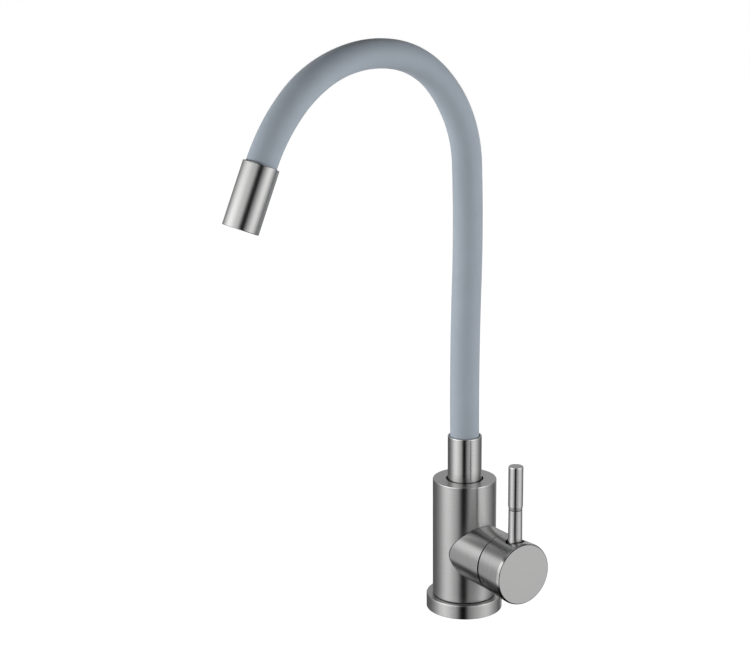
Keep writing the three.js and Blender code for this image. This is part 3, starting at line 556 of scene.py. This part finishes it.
along_x = Matrix.Rotation(math.pi / 2, 4, "Y")
branch_place = shifted(0, 0, BRANCH_Z) @ along_x
lever_place = shifted(LEVER_X, 0)

foot_ring = lathe(
    "foot_ring",
    [
        (FOOT_BORE_R, 0),
        (GASKET_INNER_R - FIT, 0),
        (GASKET_INNER_R - FIT, GASKET_HEIGHT + FIT),
        (GASKET_OUTER_R + FIT, GASKET_HEIGHT + FIT),
        (GASKET_OUTER_R + FIT, 0),
        (FOOT_R, 0, FOOT_EDGE),
        *turned_edge(FOOT_R, COLUMN_FOOT, LARGE_CHAMFER),
        (FOOT_BORE_R, COLUMN_FOOT),
    ],
    FINE_SIDES,
)
dress(foot_ring, "satin_steel", "tap_body", "base_ring", **turned_look)

gasket = lathe(
    "foot_gasket",
    [
        (GASKET_INNER_R, 0),
        (GASKET_OUTER_R, 0),
        (GASKET_OUTER_R, GASKET_HEIGHT),
        (GASKET_INNER_R, GASKET_HEIGHT),
    ],
    FINE_SIDES,
)
dress(gasket, "rubber", "tap_body", "deck_gasket")

inlet = lathe(
    "inlet_casting",
    [
        (0, 0),
        (BLOCK_NECK_R, 0, INLET_EDGE),
        (BLOCK_NECK_R, COLUMN_FOOT),
        (BLOCK_HEAD_R, COLUMN_FOOT),
        (BLOCK_HEAD_R, BLOCK_TOP),
        (0, BLOCK_TOP),
    ],
    SLIM_SIDES,
)
cutters = []
for side in (-1, 1):
    port = shifted(0, side * PORT_Y)
    cutters.append(rod_shape(PORT_R, -PAST, PORT_DEPTH, port))
    cutters.append(rod_shape(WATER_WAY_R, PORT_DEPTH - PAST, PIPE_SOCKET_FOOT + PAST, port))
    cutters.append(rod_shape(PIPE_SOCKET_R, PIPE_SOCKET_FOOT, BLOCK_TOP + PAST, port))
    cutters.append(rod_shape(STUD_HOLE_R, -PAST, STUD_HOLE_DEPTH, shifted(side * STUD_HOLE_X, 0)))
carve(inlet, cutters)
dress(inlet, "plain_steel", "tap_body", "inlet_block")

column = lathe(
    "column",
    [
        (COLUMN_BORE_R, COLUMN_FOOT),
        (COLUMN_NECK_R, COLUMN_FOOT),
        (COLUMN_NECK_R, COLUMN_NECK_TOP),
        (COLUMN_R, COLUMN_NECK_TOP, COLUMN_EDGE),
        *turned_edge(COLUMN_R, COLUMN_TOP, SMALL_CHAMFER),
        (TOP_HOLE_R, COLUMN_TOP, TOP_HOLE_EDGE),
        (TOP_HOLE_R, COLUMN_CEILING),
        (COLUMN_BORE_R, COLUMN_CEILING),
    ],
    FINE_SIDES,
)
carve(
    column,
    [rod_shape(SADDLE_HOLE_R, 0, COLUMN_R + BEYOND, branch_place, FINE_SIDES)],
    ((COLUMN_R, COLUMN_R), (COLUMN_BORE_R, COLUMN_BORE_R)),
)
dress(
    column,
    "satin_steel",
    "tap_body",
    "body_shell",
    finish=satin_broad,
    faces=satin_face,
    edges=satin_edge_highlight,
)
paint_shade_inside(column, COLUMN_FOOT, COLUMN_TOP, COLUMN_R)

# Pieces of the branch and the lever


def column_cutter(radius):
    """A cutter about the column's axis, longer than the column."""
    return rod_shape(radius, COLUMN_FOOT - BEYOND, COLUMN_TOP + BEYOND, None, FINE_SIDES)


branch = lathe(
    "branch_tube",
    [
        (BRANCH_BORE_R, BRANCH_START_X),
        (BRANCH_R, BRANCH_START_X),
        (BRANCH_R, MOUTH_X, MOUTH_EDGE),
        (BRANCH_THREAD_R, MOUTH_X, THREAD_EDGE),
        (BRANCH_THREAD_R, THREAD_FROM),
        (BRANCH_BORE_R, THREAD_FROM),
    ],
    FINE_SIDES,
    branch_place,
)
saddle = column_cutter(COLUMN_R + SADDLE_GAP)
carve(branch, [saddle], ((BRANCH_R, BRANCH_R), (BRANCH_BORE_R, BRANCH_BORE_R)))
dress(branch, "satin_steel", "tap_body", "side_barrel", faces=satin_face)
# The end given lies past the mouth, so that the mouth's rim gets the painted shade too
paint_shade_inside(branch, BRANCH_START_X, MOUTH_X + PAST, BRANCH_R)

# Painted shade: a thin near-black ring standing for the shade in the gap at the branch's root
seam_shade_ring = lathe(
    "branch_seam_shade",
    [
        (SEAM_SHADE_R - SEAM_SHADE_WALL, BRANCH_START_X),
        (SEAM_SHADE_R, BRANCH_START_X),
        (SEAM_SHADE_R, COLUMN_R + PAST),
        (SEAM_SHADE_R - SEAM_SHADE_WALL, COLUMN_R + PAST),
    ],
    FINE_SIDES,
    branch_place,
)
carve(seam_shade_ring, [column_cutter(COLUMN_R + SEAM_SHADE_GAP)], ((SEAM_SHADE_R, SEAM_SHADE_R),))
dress(seam_shade_ring, "satin_steel", "tap_body", "side_barrel", finish=painted_shade_steel)


def dome_arc(radius):
    """Points of an arc about the lever's pin, from its rim inward."""
    angles = [math.radians(degrees) for degrees in DOME_DEGREES]
    return [(radius * math.sin(a), DOME_CENTRE_X + radius * math.cos(a)) for a in angles]


# A dark domed lip on the retaining nut closes the view through the gap at the cap's rim; it is painted
# shade, a dark piece standing for the shade in that gap
outer_arc = dome_arc(DOME_R)
inner_arc = dome_arc(DOME_R - DOME_WALL)
gap_shade_dome = lathe(
    "seam_gap_shade_dome",
    [(inner_arc[0][0], NUT_TOP_X), (outer_arc[0][0], NUT_TOP_X), *outer_arc, *reversed(inner_arc)],
    FINE_SIDES,
    branch_place,
)
dress(gap_shade_dome, "dark_plastic", "tap_body")

cap = lathe(
    "lever_cap",
    [
        (0, SOCKET_END_X),
        (HUB_BORE_R, SOCKET_END_X),
        (HUB_BORE_R, HUB_X),
        (HUB_R, HUB_X),
        (HUB_R, CAP_END_INNER_X),
        (CAP_END_R - CAP_WALL, CAP_END_INNER_X),
        (BRANCH_R - CAP_WALL, CAP_RIM_X),
        (BRANCH_R, CAP_RIM_X),
        *[(CAP_END_R - inward, CAP_END_X - short) for inward, short in CAP_CROWN],
        (0, CAP_END_X),
    ],
    FINE_SIDES,
    branch_place,
)
rim_plane = branch_place @ shifted(-BRANCH_R, 0, CAP_RIM_X) @ Matrix.Rotation(-CAP_SLANT, 4, "Y")
wide = 2 * CAP_END_R + BEYOND
rim_cut = box_shape((-wide, -wide, -2 * BEYOND), (wide, wide, 0), rim_plane)
rod_hole = rod_shape(ROD_HOLE_R, ROD_SEAT, BRANCH_Z + CAP_END_R + PAST, lever_place, SLIM_SIDES)
carve(
    cap,
    [rim_cut, rod_hole],
    ((BRANCH_R, CAP_END_R), (BRANCH_R - CAP_WALL, CAP_END_R - CAP_WALL)),
)
dress(cap, "satin_steel", "lever", "handle_cap", faces=satin_face, edges=satin_edge_highlight)
paint_shade_inside(cap, CAP_RIM_X, CAP_END_X, BRANCH_R, CAP_END_R)

lower_rod = lathe(
    "lever_lower_rod",
    [
        (0, ROD_THREAD_FOOT),
        (ROD_THREAD_R, ROD_THREAD_FOOT),
        (ROD_THREAD_R, ROD_SEAT),
        (ROD_FOOT_R, ROD_SEAT),
        (ROD_HEAD_R, ROD_HEAD, ROD_EDGE),
        (ROD_STUD_R, ROD_HEAD),
        (ROD_STUD_R, ROD_STUD_TOP),
        (0, ROD_STUD_TOP),
    ],
    SLIM_SIDES,
    lever_place,
)
dress(lower_rod, "satin_steel", "lever", "lever_rod", finish=satin_fine, faces=satin_face)
upper_grip = lathe(
    "lever_upper_grip",
    [
        (0, ROD_STUD_TOP + FIT),
        (ROD_STUD_R + FIT, ROD_STUD_TOP + FIT),
        (ROD_STUD_R + FIT, GRIP_FOOT),
        (GRIP_R - GRIP_TAPER, GRIP_FOOT, GRIP_EDGE),
        (GRIP_R, GRIP_FOOT + GRIP_TAPER_HEIGHT, GRIP_BLEND),
        *turned_edge(GRIP_R, GRIP_TOP, LARGE_CHAMFER),
        (0, GRIP_TOP),
    ],
    SLIM_SIDES,
    lever_place,
)
dress(upper_grip, "satin_steel", "lever", "lever_grip", **turned_look)

# Pieces of the swivel, and the sleeves of the spout

nut = lathe(
    "swivel_ring",
    [
        (SWIVEL_NUT_BORE_R, SWIVEL_NUT_FOOT),
        (SWIVEL_NUT_R, SWIVEL_NUT_FOOT),
        (SWIVEL_NUT_R, SWIVEL_NUT_TOP, SWIVEL_NUT_EDGE),
        (SWIVEL_NUT_BORE_R, SWIVEL_NUT_TOP, SWIVEL_NUT_EDGE),
    ],
    FINE_SIDES,
)
dress(nut, "dark_plastic", "tap_body", "swivel_nut")

ferrule = lathe(
    "foot_ferrule",
    [
        (FERRULE_THREAD_R, FERRULE_FOOT),
        (SLEEVE_R, FERRULE_FOOT, SLEEVE_FOOT_EDGE),
        *turned_edge(SLEEVE_R, FERRULE_TOP, SMALL_CHAMFER),
        (SLEEVE_BORE_R, FERRULE_TOP, SLEEVE_BORE_EDGE),
        (SLEEVE_BORE_R, FERRULE_THREAD_TOP),
        (FERRULE_THREAD_R, FERRULE_THREAD_TOP),
    ],
    FINE_SIDES,
)
dress(ferrule, "satin_steel", "spout", "lower_ferrule", **turned_look)
paint_shade_inside(ferrule, FERRULE_FOOT, FERRULE_TOP, SLEEVE_R)

outlet_at, outlet_tilt = hose_at(HOSE_LENGTH - HOSE_INSERTION)
outlet_place = Matrix.Translation(outlet_at * MM) @ Matrix.Rotation(outlet_tilt, 4, "X")
outlet = lathe(
    "outlet_ferrule",
    [
        (SLEEVE_BORE_R, 0, SLEEVE_BORE_EDGE),
        *reversed(turned_edge(SLEEVE_R, 0, SMALL_CHAMFER, side=-1)),
        (SLEEVE_R, OUTLET_LENGTH, OUTLET_EDGE),
        (SLEEVE_BORE_R, OUTLET_LENGTH, SLEEVE_BORE_EDGE),
    ],
    FINE_SIDES,
    outlet_place,
)
dress(outlet, "satin_steel", "spout_head", "outlet_sleeve", **turned_look)
paint_shade_inside(outlet, 0, OUTLET_LENGTH, SLEEVE_R)

adapter = lathe(
    "outlet_insert",
    [
        (ADAPTER_BORE_R, ADAPTER_TOP),
        (ADAPTER_R, ADAPTER_TOP),
        (ADAPTER_R, ADAPTER_END, ADAPTER_EDGE),
        (CHAMBER_R, ADAPTER_END, ADAPTER_EDGE),
        (CHAMBER_R, CHAMBER_TOP),
        (ADAPTER_NECK_R, CHAMBER_TOP),
        (ADAPTER_NECK_R, ADAPTER_BORE_END),
        (ADAPTER_BORE_R, ADAPTER_BORE_END),
    ],
    SLIM_SIDES,
    outlet_place,
)
dress(adapter, "brass", "spout_head", "outlet_adapter")

aerator = lathe(
    "aerator_shell",
    [
        (AERATOR_BORE_R, AERATOR_TOP),
        (AERATOR_R, AERATOR_TOP),
        (AERATOR_R, AERATOR_END, AERATOR_EDGE),
        (AERATOR_LIP_R, AERATOR_END, AERATOR_LIP_EDGE),
        (AERATOR_LIP_R, AERATOR_FLOOR),
        (AERATOR_BORE_R, AERATOR_FLOOR),
    ],
    SLIM_SIDES,
    outlet_place,
)
dress(aerator, "dark_plastic", "spout_head", "aerator_housing")

core = lathe(
    "aerator_insert",
    [
        (0, AERATOR_CORE_TOP),
        (AERATOR_CORE_R, AERATOR_CORE_TOP),
        (AERATOR_CORE_R, AERATOR_FLOOR),
        (0, AERATOR_FLOOR),
    ],
    SLIM_SIDES,
    outlet_place,
)


def core_hole(x, y):
    """A cutter for one hole of the aerator, x and y from its middle."""
    place = outlet_place @ shifted(x, y)
    return rod_shape(CORE_HOLE_R, CORE_CUT_FROM, CORE_CUT_TO, place, SMALL_HOLE_SIDES)


holes = [core_hole(0, 0)]
for ring in range(1, CORE_HOLE_RINGS + 1):
    for k in range(6 * ring):
        angle = 2 * math.pi * k / (6 * ring)
        reach = CORE_HOLE_PITCH * ring
        holes.append(core_hole(reach * math.cos(angle), reach * math.sin(angle)))
carve(core, holes)
dress(core, "white_plastic", "spout_head", "aerator_core")

# Layers of the hose

crown_start = hose_at(CROWN_FROM)[0] * MM
crown_end = hose_at(CROWN_TO)[0] * MM
hose_sleeve = hose_layer("hose_sleeve", HOSE_R, HOSE_BORE_R, HOSE_SIDES, SLEEVE_STEP, thinning)
gooseneck = hose_layer("gooseneck_strip", CORE_R, CORE_BORE_R, STRIP_SIDES, STRIP_STEP, strip_ripple)
inner_tube = hose_layer("inner_water_tube", TUBE_R, TUBE_BORE_R, TUBE_SIDES, TUBE_STEP)
for obj, slot, stands_for in (
    (hose_sleeve, "silicone", ("hose_sleeve_riser", "hose_sleeve_crown", "hose_sleeve_drop")),
    (gooseneck, "plain_steel", ("gooseneck_hose",)),
    (inner_tube, "white_plastic", ("water_tube",)),
):
    dress(obj, slot, None, *stands_for)
    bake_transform(obj)

# Camera

CAMERA_AZIMUTH = math.radians(53.677)
CAMERA_DISTANCE, CAMERA_HEIGHT = 1150.0, 497.301
PITCH, YAW, ROLL = math.radians(14.14), math.radians(3.109), math.radians(-0.504)
FOCAL_PIXELS, IMAGE_WIDTH, SENSOR_WIDTH = 1714.529, 750, 36

eye = Vector(
    (math.sin(CAMERA_AZIMUTH) * CAMERA_DISTANCE, -math.cos(CAMERA_AZIMUTH) * CAMERA_DISTANCE, CAMERA_HEIGHT)
)
heading = math.atan2(math.cos(CAMERA_AZIMUTH), -math.sin(CAMERA_AZIMUTH)) + YAW
forward = Vector(
    (math.cos(heading) * math.cos(PITCH), math.sin(heading) * math.cos(PITCH), -math.sin(PITCH))
)
right = forward.cross(Vector((0, 0, 1))).normalized()
up = right.cross(forward)
right, up = right * math.cos(ROLL) + up * math.sin(ROLL), up * math.cos(ROLL) - right * math.sin(ROLL)
camera = bpy.data.objects.new("camera", bpy.data.cameras.new("camera"))
camera.data.sensor_width = SENSOR_WIDTH
camera.data.lens = SENSOR_WIDTH * FOCAL_PIXELS / IMAGE_WIDTH
camera.data.clip_start = 0.01
camera.data.clip_end = 50
camera.matrix_world = Matrix.Translation(eye * MM) @ Matrix((right, up, -forward)).transposed().to_4x4()
bpy.context.scene.collection.objects.link(camera)
bpy.context.scene.camera = camera


# Studio


def seen_as_background(tree):
    """1 for rays from the camera, from gloss and through glass, 0 for the others."""
    path = tree.nodes.new("ShaderNodeLightPath")
    total = path.outputs["Is Camera Ray"]
    for name in ("Is Glossy Ray", "Is Transmission Ray"):
        node = tree.nodes.new("ShaderNodeMath")
        node.operation = "MAXIMUM"
        tree.links.new(total, node.inputs[0])
        tree.links.new(path.outputs[name], node.inputs[1])
        total = node.outputs[0]
    return total


def mixed(tree, fac, first, second):
    node = tree.nodes.new("ShaderNodeMixShader")
    tree.links.new(fac, node.inputs[0])
    tree.links.new(first, node.inputs[1])
    tree.links.new(second, node.inputs[2])
    return node.outputs[0]


def ramp_of(tree, value, low, high, stops):
    """Brightness by a value between low and high, from stops of (value, brightness)."""
    spread = tree.nodes.new("ShaderNodeMapRange")
    spread.inputs["From Min"].default_value = low
    spread.inputs["From Max"].default_value = high
    tree.links.new(value, spread.inputs["Value"])
    ramp = tree.nodes.new("ShaderNodeValToRGB")
    bar = ramp.color_ramp
    for i, (place, light) in enumerate(stops):
        share = (place - low) / (high - low)
        stop = bar.elements[i] if i < 2 else bar.elements.new(share)
        stop.position = share
        stop.color = (light, light, light, 1)
    tree.links.new(spread.outputs[0], ramp.inputs[0])
    return ramp.outputs["Color"]


# Soft light by the height of its direction, from straight down to straight up: bright sides, dim ceiling
SKY_STOPS = [(-1.0, 0.95), (0.0, 0.95), (0.12, 0.57), (0.3, 0.23), (0.6, 0.07), (0.85, 0.04), (1.0, 0.03)]

# The floor, in metres, a little under the tap: how bright the camera sees it, and how it lights the tap
FLOOR_SIZE, FLOOR_DROP = 24, 0.0002
FLOOR_SHOWN, FLOOR_GLOW = 0.96, 0.38


def build_world():
    """White to the camera, and the soft light of the sky to everything else."""
    world = bpy.data.worlds.new("studio")
    bpy.context.scene.world = world
    world.use_nodes = True
    tree = world.node_tree
    lit = tree.nodes["Background"]
    way = tree.nodes.new("ShaderNodeSeparateXYZ")
    tree.links.new(tree.nodes.new("ShaderNodeTexCoord").outputs["Generated"], way.inputs[0])
    tree.links.new(ramp_of(tree, way.outputs["Z"], -1.0, 1.0, SKY_STOPS), lit.inputs["Color"])
    white = tree.nodes.new("ShaderNodeBackground")
    white.inputs["Color"].default_value = (1, 1, 1, 1)
    white.inputs["Strength"].default_value = 1.0
    shown = mixed(tree, seen_as_background(tree), lit.outputs[0], white.outputs[0])
    tree.links.new(shown, tree.nodes["World Output"].inputs["Surface"])


def build_floor():
    """Nearly white to the camera with the tap's shadow on it, and a pale glowing floor to the tap."""
    bpy.ops.mesh.primitive_plane_add(size=FLOOR_SIZE, location=(0, 0, -FLOOR_DROP))
    floor = bpy.context.object
    floor.name = "floor"
    material = bpy.data.materials.new("floor_pale")
    material.use_nodes = True
    tree = material.node_tree
    pale = tree.nodes["Principled BSDF"]
    pale.inputs["Base Color"].default_value = (0.8, 0.8, 0.8, 1)
    pale.inputs["Roughness"].default_value = 0.9
    pale.inputs["Emission Color"].default_value = (1, 1, 1, 1)
    pale.inputs["Emission Strength"].default_value = FLOOR_GLOW
    shadowed = tree.nodes.new("ShaderNodeBsdfDiffuse")
    shadowed.inputs["Color"].default_value = (0.35, 0.35, 0.35, 1)
    glow = tree.nodes.new("ShaderNodeEmission")
    glow.inputs["Strength"].default_value = FLOOR_SHOWN
    both = tree.nodes.new("ShaderNodeAddShader")
    tree.links.new(shadowed.outputs[0], both.inputs[0])
    tree.links.new(glow.outputs[0], both.inputs[1])
    shown = mixed(tree, seen_as_background(tree), pale.outputs[0], both.outputs[0])
    tree.links.new(shown, tree.nodes["Material Output"].inputs["Surface"])
    floor.visible_glossy = False
    floor.data.materials.append(material)


# A light tent that only reflections see. Going round it, its light is given low down and high up,
# in stops of (degrees round from the camera towards its right, brightness).
TENT_LOW = [
    (-180, 0.08),
    (-150, 0.12),
    (-136, 0.14),
    (-120, 0.17),
    (-104, 0.32),
    (-88, 0.60),
    (-76, 0.92),
    (-60, 1.10),
    (-47, 0.97),
    (-35, 0.74),
    (-23, 0.50),
    (-14, 0.15),
    (-8, 0.01),
    (2, 0.01),
    (8, 0.11),
    (13, 0.29),
    (23, 0.47),
    (47, 0.76),
    (60, 0.90),
    (74, 0.92),
    (88, 0.68),
    (102, 0.44),
    (116, 0.28),
    (130, 0.12),
    (140, 0.14),
    (149, 0.46),
    (158, 0.20),
    (180, 0.08),
]
TENT_HIGH = [
    (-180, 0.58),
    (-150, 0.30),
    (-130, 0.30),
    (-116, 0.43),
    (-101, 0.80),
    (-89, 1.25),
    (-76, 1.78),
    (-65, 1.92),
    (-54, 1.70),
    (-43, 1.30),
    (-33, 1.10),
    (-23, 0.86),
    (-14, 0.28),
    (-8, 0.02),
    (6, 0.01),
    (12, 0.16),
    (18, 0.36),
    (29, 0.64),
    (40, 0.98),
    (52, 1.38),
    (67, 1.48),
    (85, 0.90),
    (102, 0.55),
    (120, 0.18),
    (136, 0.10),
    (148, 1.00),
    (158, 0.80),
    (180, 0.58),
]
# Share of the high light, and the fall of all light, by height in mm
TENT_MIX = [(-900, 0.0), (20, 0.0), (300, 1.0), (1100, 1.0)]
TENT_FALL = [
    (-900, 0.02),
    (-600, 0.05),
    (-470, 0.38),
    (-380, 0.95),
    (-290, 1.12),
    (-200, 1.0),
    (520, 1.0),
    (615, 0.35),
    (700, 0.06),
    (880, 0.06),
    (960, 0.24),
    (1100, 0.30),
]
TENT_R, TENT_FOOT, TENT_TOP = 700.0, -900.0, 1100.0

# Two lamps beside the camera, in metres, degrees and watts
LAMP_AZIMUTH, LAMP_DISTANCE, LAMP_HEIGHT, LAMP_SIZE = 75, 2.4, 0.36, (2.0, 0.7)
LEFT_WATTS, RIGHT_WATTS = 52.0, 38.0

# The camera's direction as seen from the tap
camera_turn = math.atan2(-math.cos(CAMERA_AZIMUTH), math.sin(CAMERA_AZIMUTH))


def tent_ramp(tree, value, unit, stops):
    """Brightness by a value in the given unit, over the whole range of the stops."""
    low, high = stops[0][0] * unit, stops[-1][0] * unit
    return ramp_of(tree, value, low, high, [(place * unit, light) for place, light in stops])


def blended(tree, kind, first, second, factor=None):
    """Two colours blended in full, or by a factor from another node."""
    node = tree.nodes.new("ShaderNodeMix")
    node.data_type = "RGBA"
    node.blend_type = kind
    node.inputs["Factor"].default_value = 1.0
    if factor is not None:
        tree.links.new(factor, node.inputs["Factor"])
    tree.links.new(first, node.inputs["A"])
    tree.links.new(second, node.inputs["B"])
    return node.outputs["Result"]


def tent_material():
    """Light by the angle round the tent from the camera, and by height."""
    material = bpy.data.materials.new("light_tent")
    material.use_nodes = True
    tree = material.node_tree
    tree.nodes.clear()
    rotated = tree.nodes.new("ShaderNodeVectorRotate")
    rotated.rotation_type = "Z_AXIS"
    rotated.inputs["Angle"].default_value = -camera_turn
    tree.links.new(tree.nodes.new("ShaderNodeNewGeometry").outputs["Position"], rotated.inputs["Vector"])
    axes = tree.nodes.new("ShaderNodeSeparateXYZ")
    tree.links.new(rotated.outputs[0], axes.inputs[0])
    height = axes.outputs["Z"]
    angle = tree.nodes.new("ShaderNodeMath")
    angle.operation = "ARCTAN2"
    tree.links.new(axes.outputs["Y"], angle.inputs[0])
    tree.links.new(axes.outputs["X"], angle.inputs[1])
    low_light = tent_ramp(tree, angle.outputs[0], math.radians(1), TENT_LOW)
    high_light = tent_ramp(tree, angle.outputs[0], math.radians(1), TENT_HIGH)
    around = blended(tree, "MIX", low_light, high_light, tent_ramp(tree, height, MM, TENT_MIX))
    light = blended(tree, "MULTIPLY", around, tent_ramp(tree, height, MM, TENT_FALL))
    emission = tree.nodes.new("ShaderNodeEmission")
    tree.links.new(light, emission.inputs["Color"])
    output = tree.nodes.new("ShaderNodeOutputMaterial")
    tree.links.new(emission.outputs[0], output.inputs["Surface"])
    material.cycles.emission_sampling = "NONE"
    return material


def build_tent():
    tent = lathe(
        "light_tent",
        [(0, TENT_FOOT), (TENT_R, TENT_FOOT), (TENT_R, TENT_TOP), (0, TENT_TOP)],
        SLIM_SIDES,
    )
    tent.data.materials.append(tent_material())
    tent.visible_camera = False
    tent.visible_diffuse = False
    tent.visible_shadow = False
    tent.visible_transmission = False
    tent.visible_volume_scatter = False


def soft_light(name, azimuth, watts):
    """An upright area light, its azimuth counted in degrees from the camera towards its right."""
    data = bpy.data.lights.new(name, "AREA")
    data.shape = "RECTANGLE"
    data.size, data.size_y = LAMP_SIZE
    data.energy = watts
    light = bpy.data.objects.new(name, data)
    way = camera_turn + math.radians(azimuth)
    light.location = (math.cos(way) * LAMP_DISTANCE, math.sin(way) * LAMP_DISTANCE, LAMP_HEIGHT)
    light.rotation_euler = (math.pi / 2, 0, way + math.pi / 2)
    light.visible_glossy = False
    bpy.context.scene.collection.objects.link(light)


build_world()
build_floor()
build_tent()
soft_light("light_left", -LAMP_AZIMUTH, LEFT_WATTS)
soft_light("light_right", LAMP_AZIMUTH, RIGHT_WATTS)
bpy.context.scene.view_settings.view_transform = "Standard"
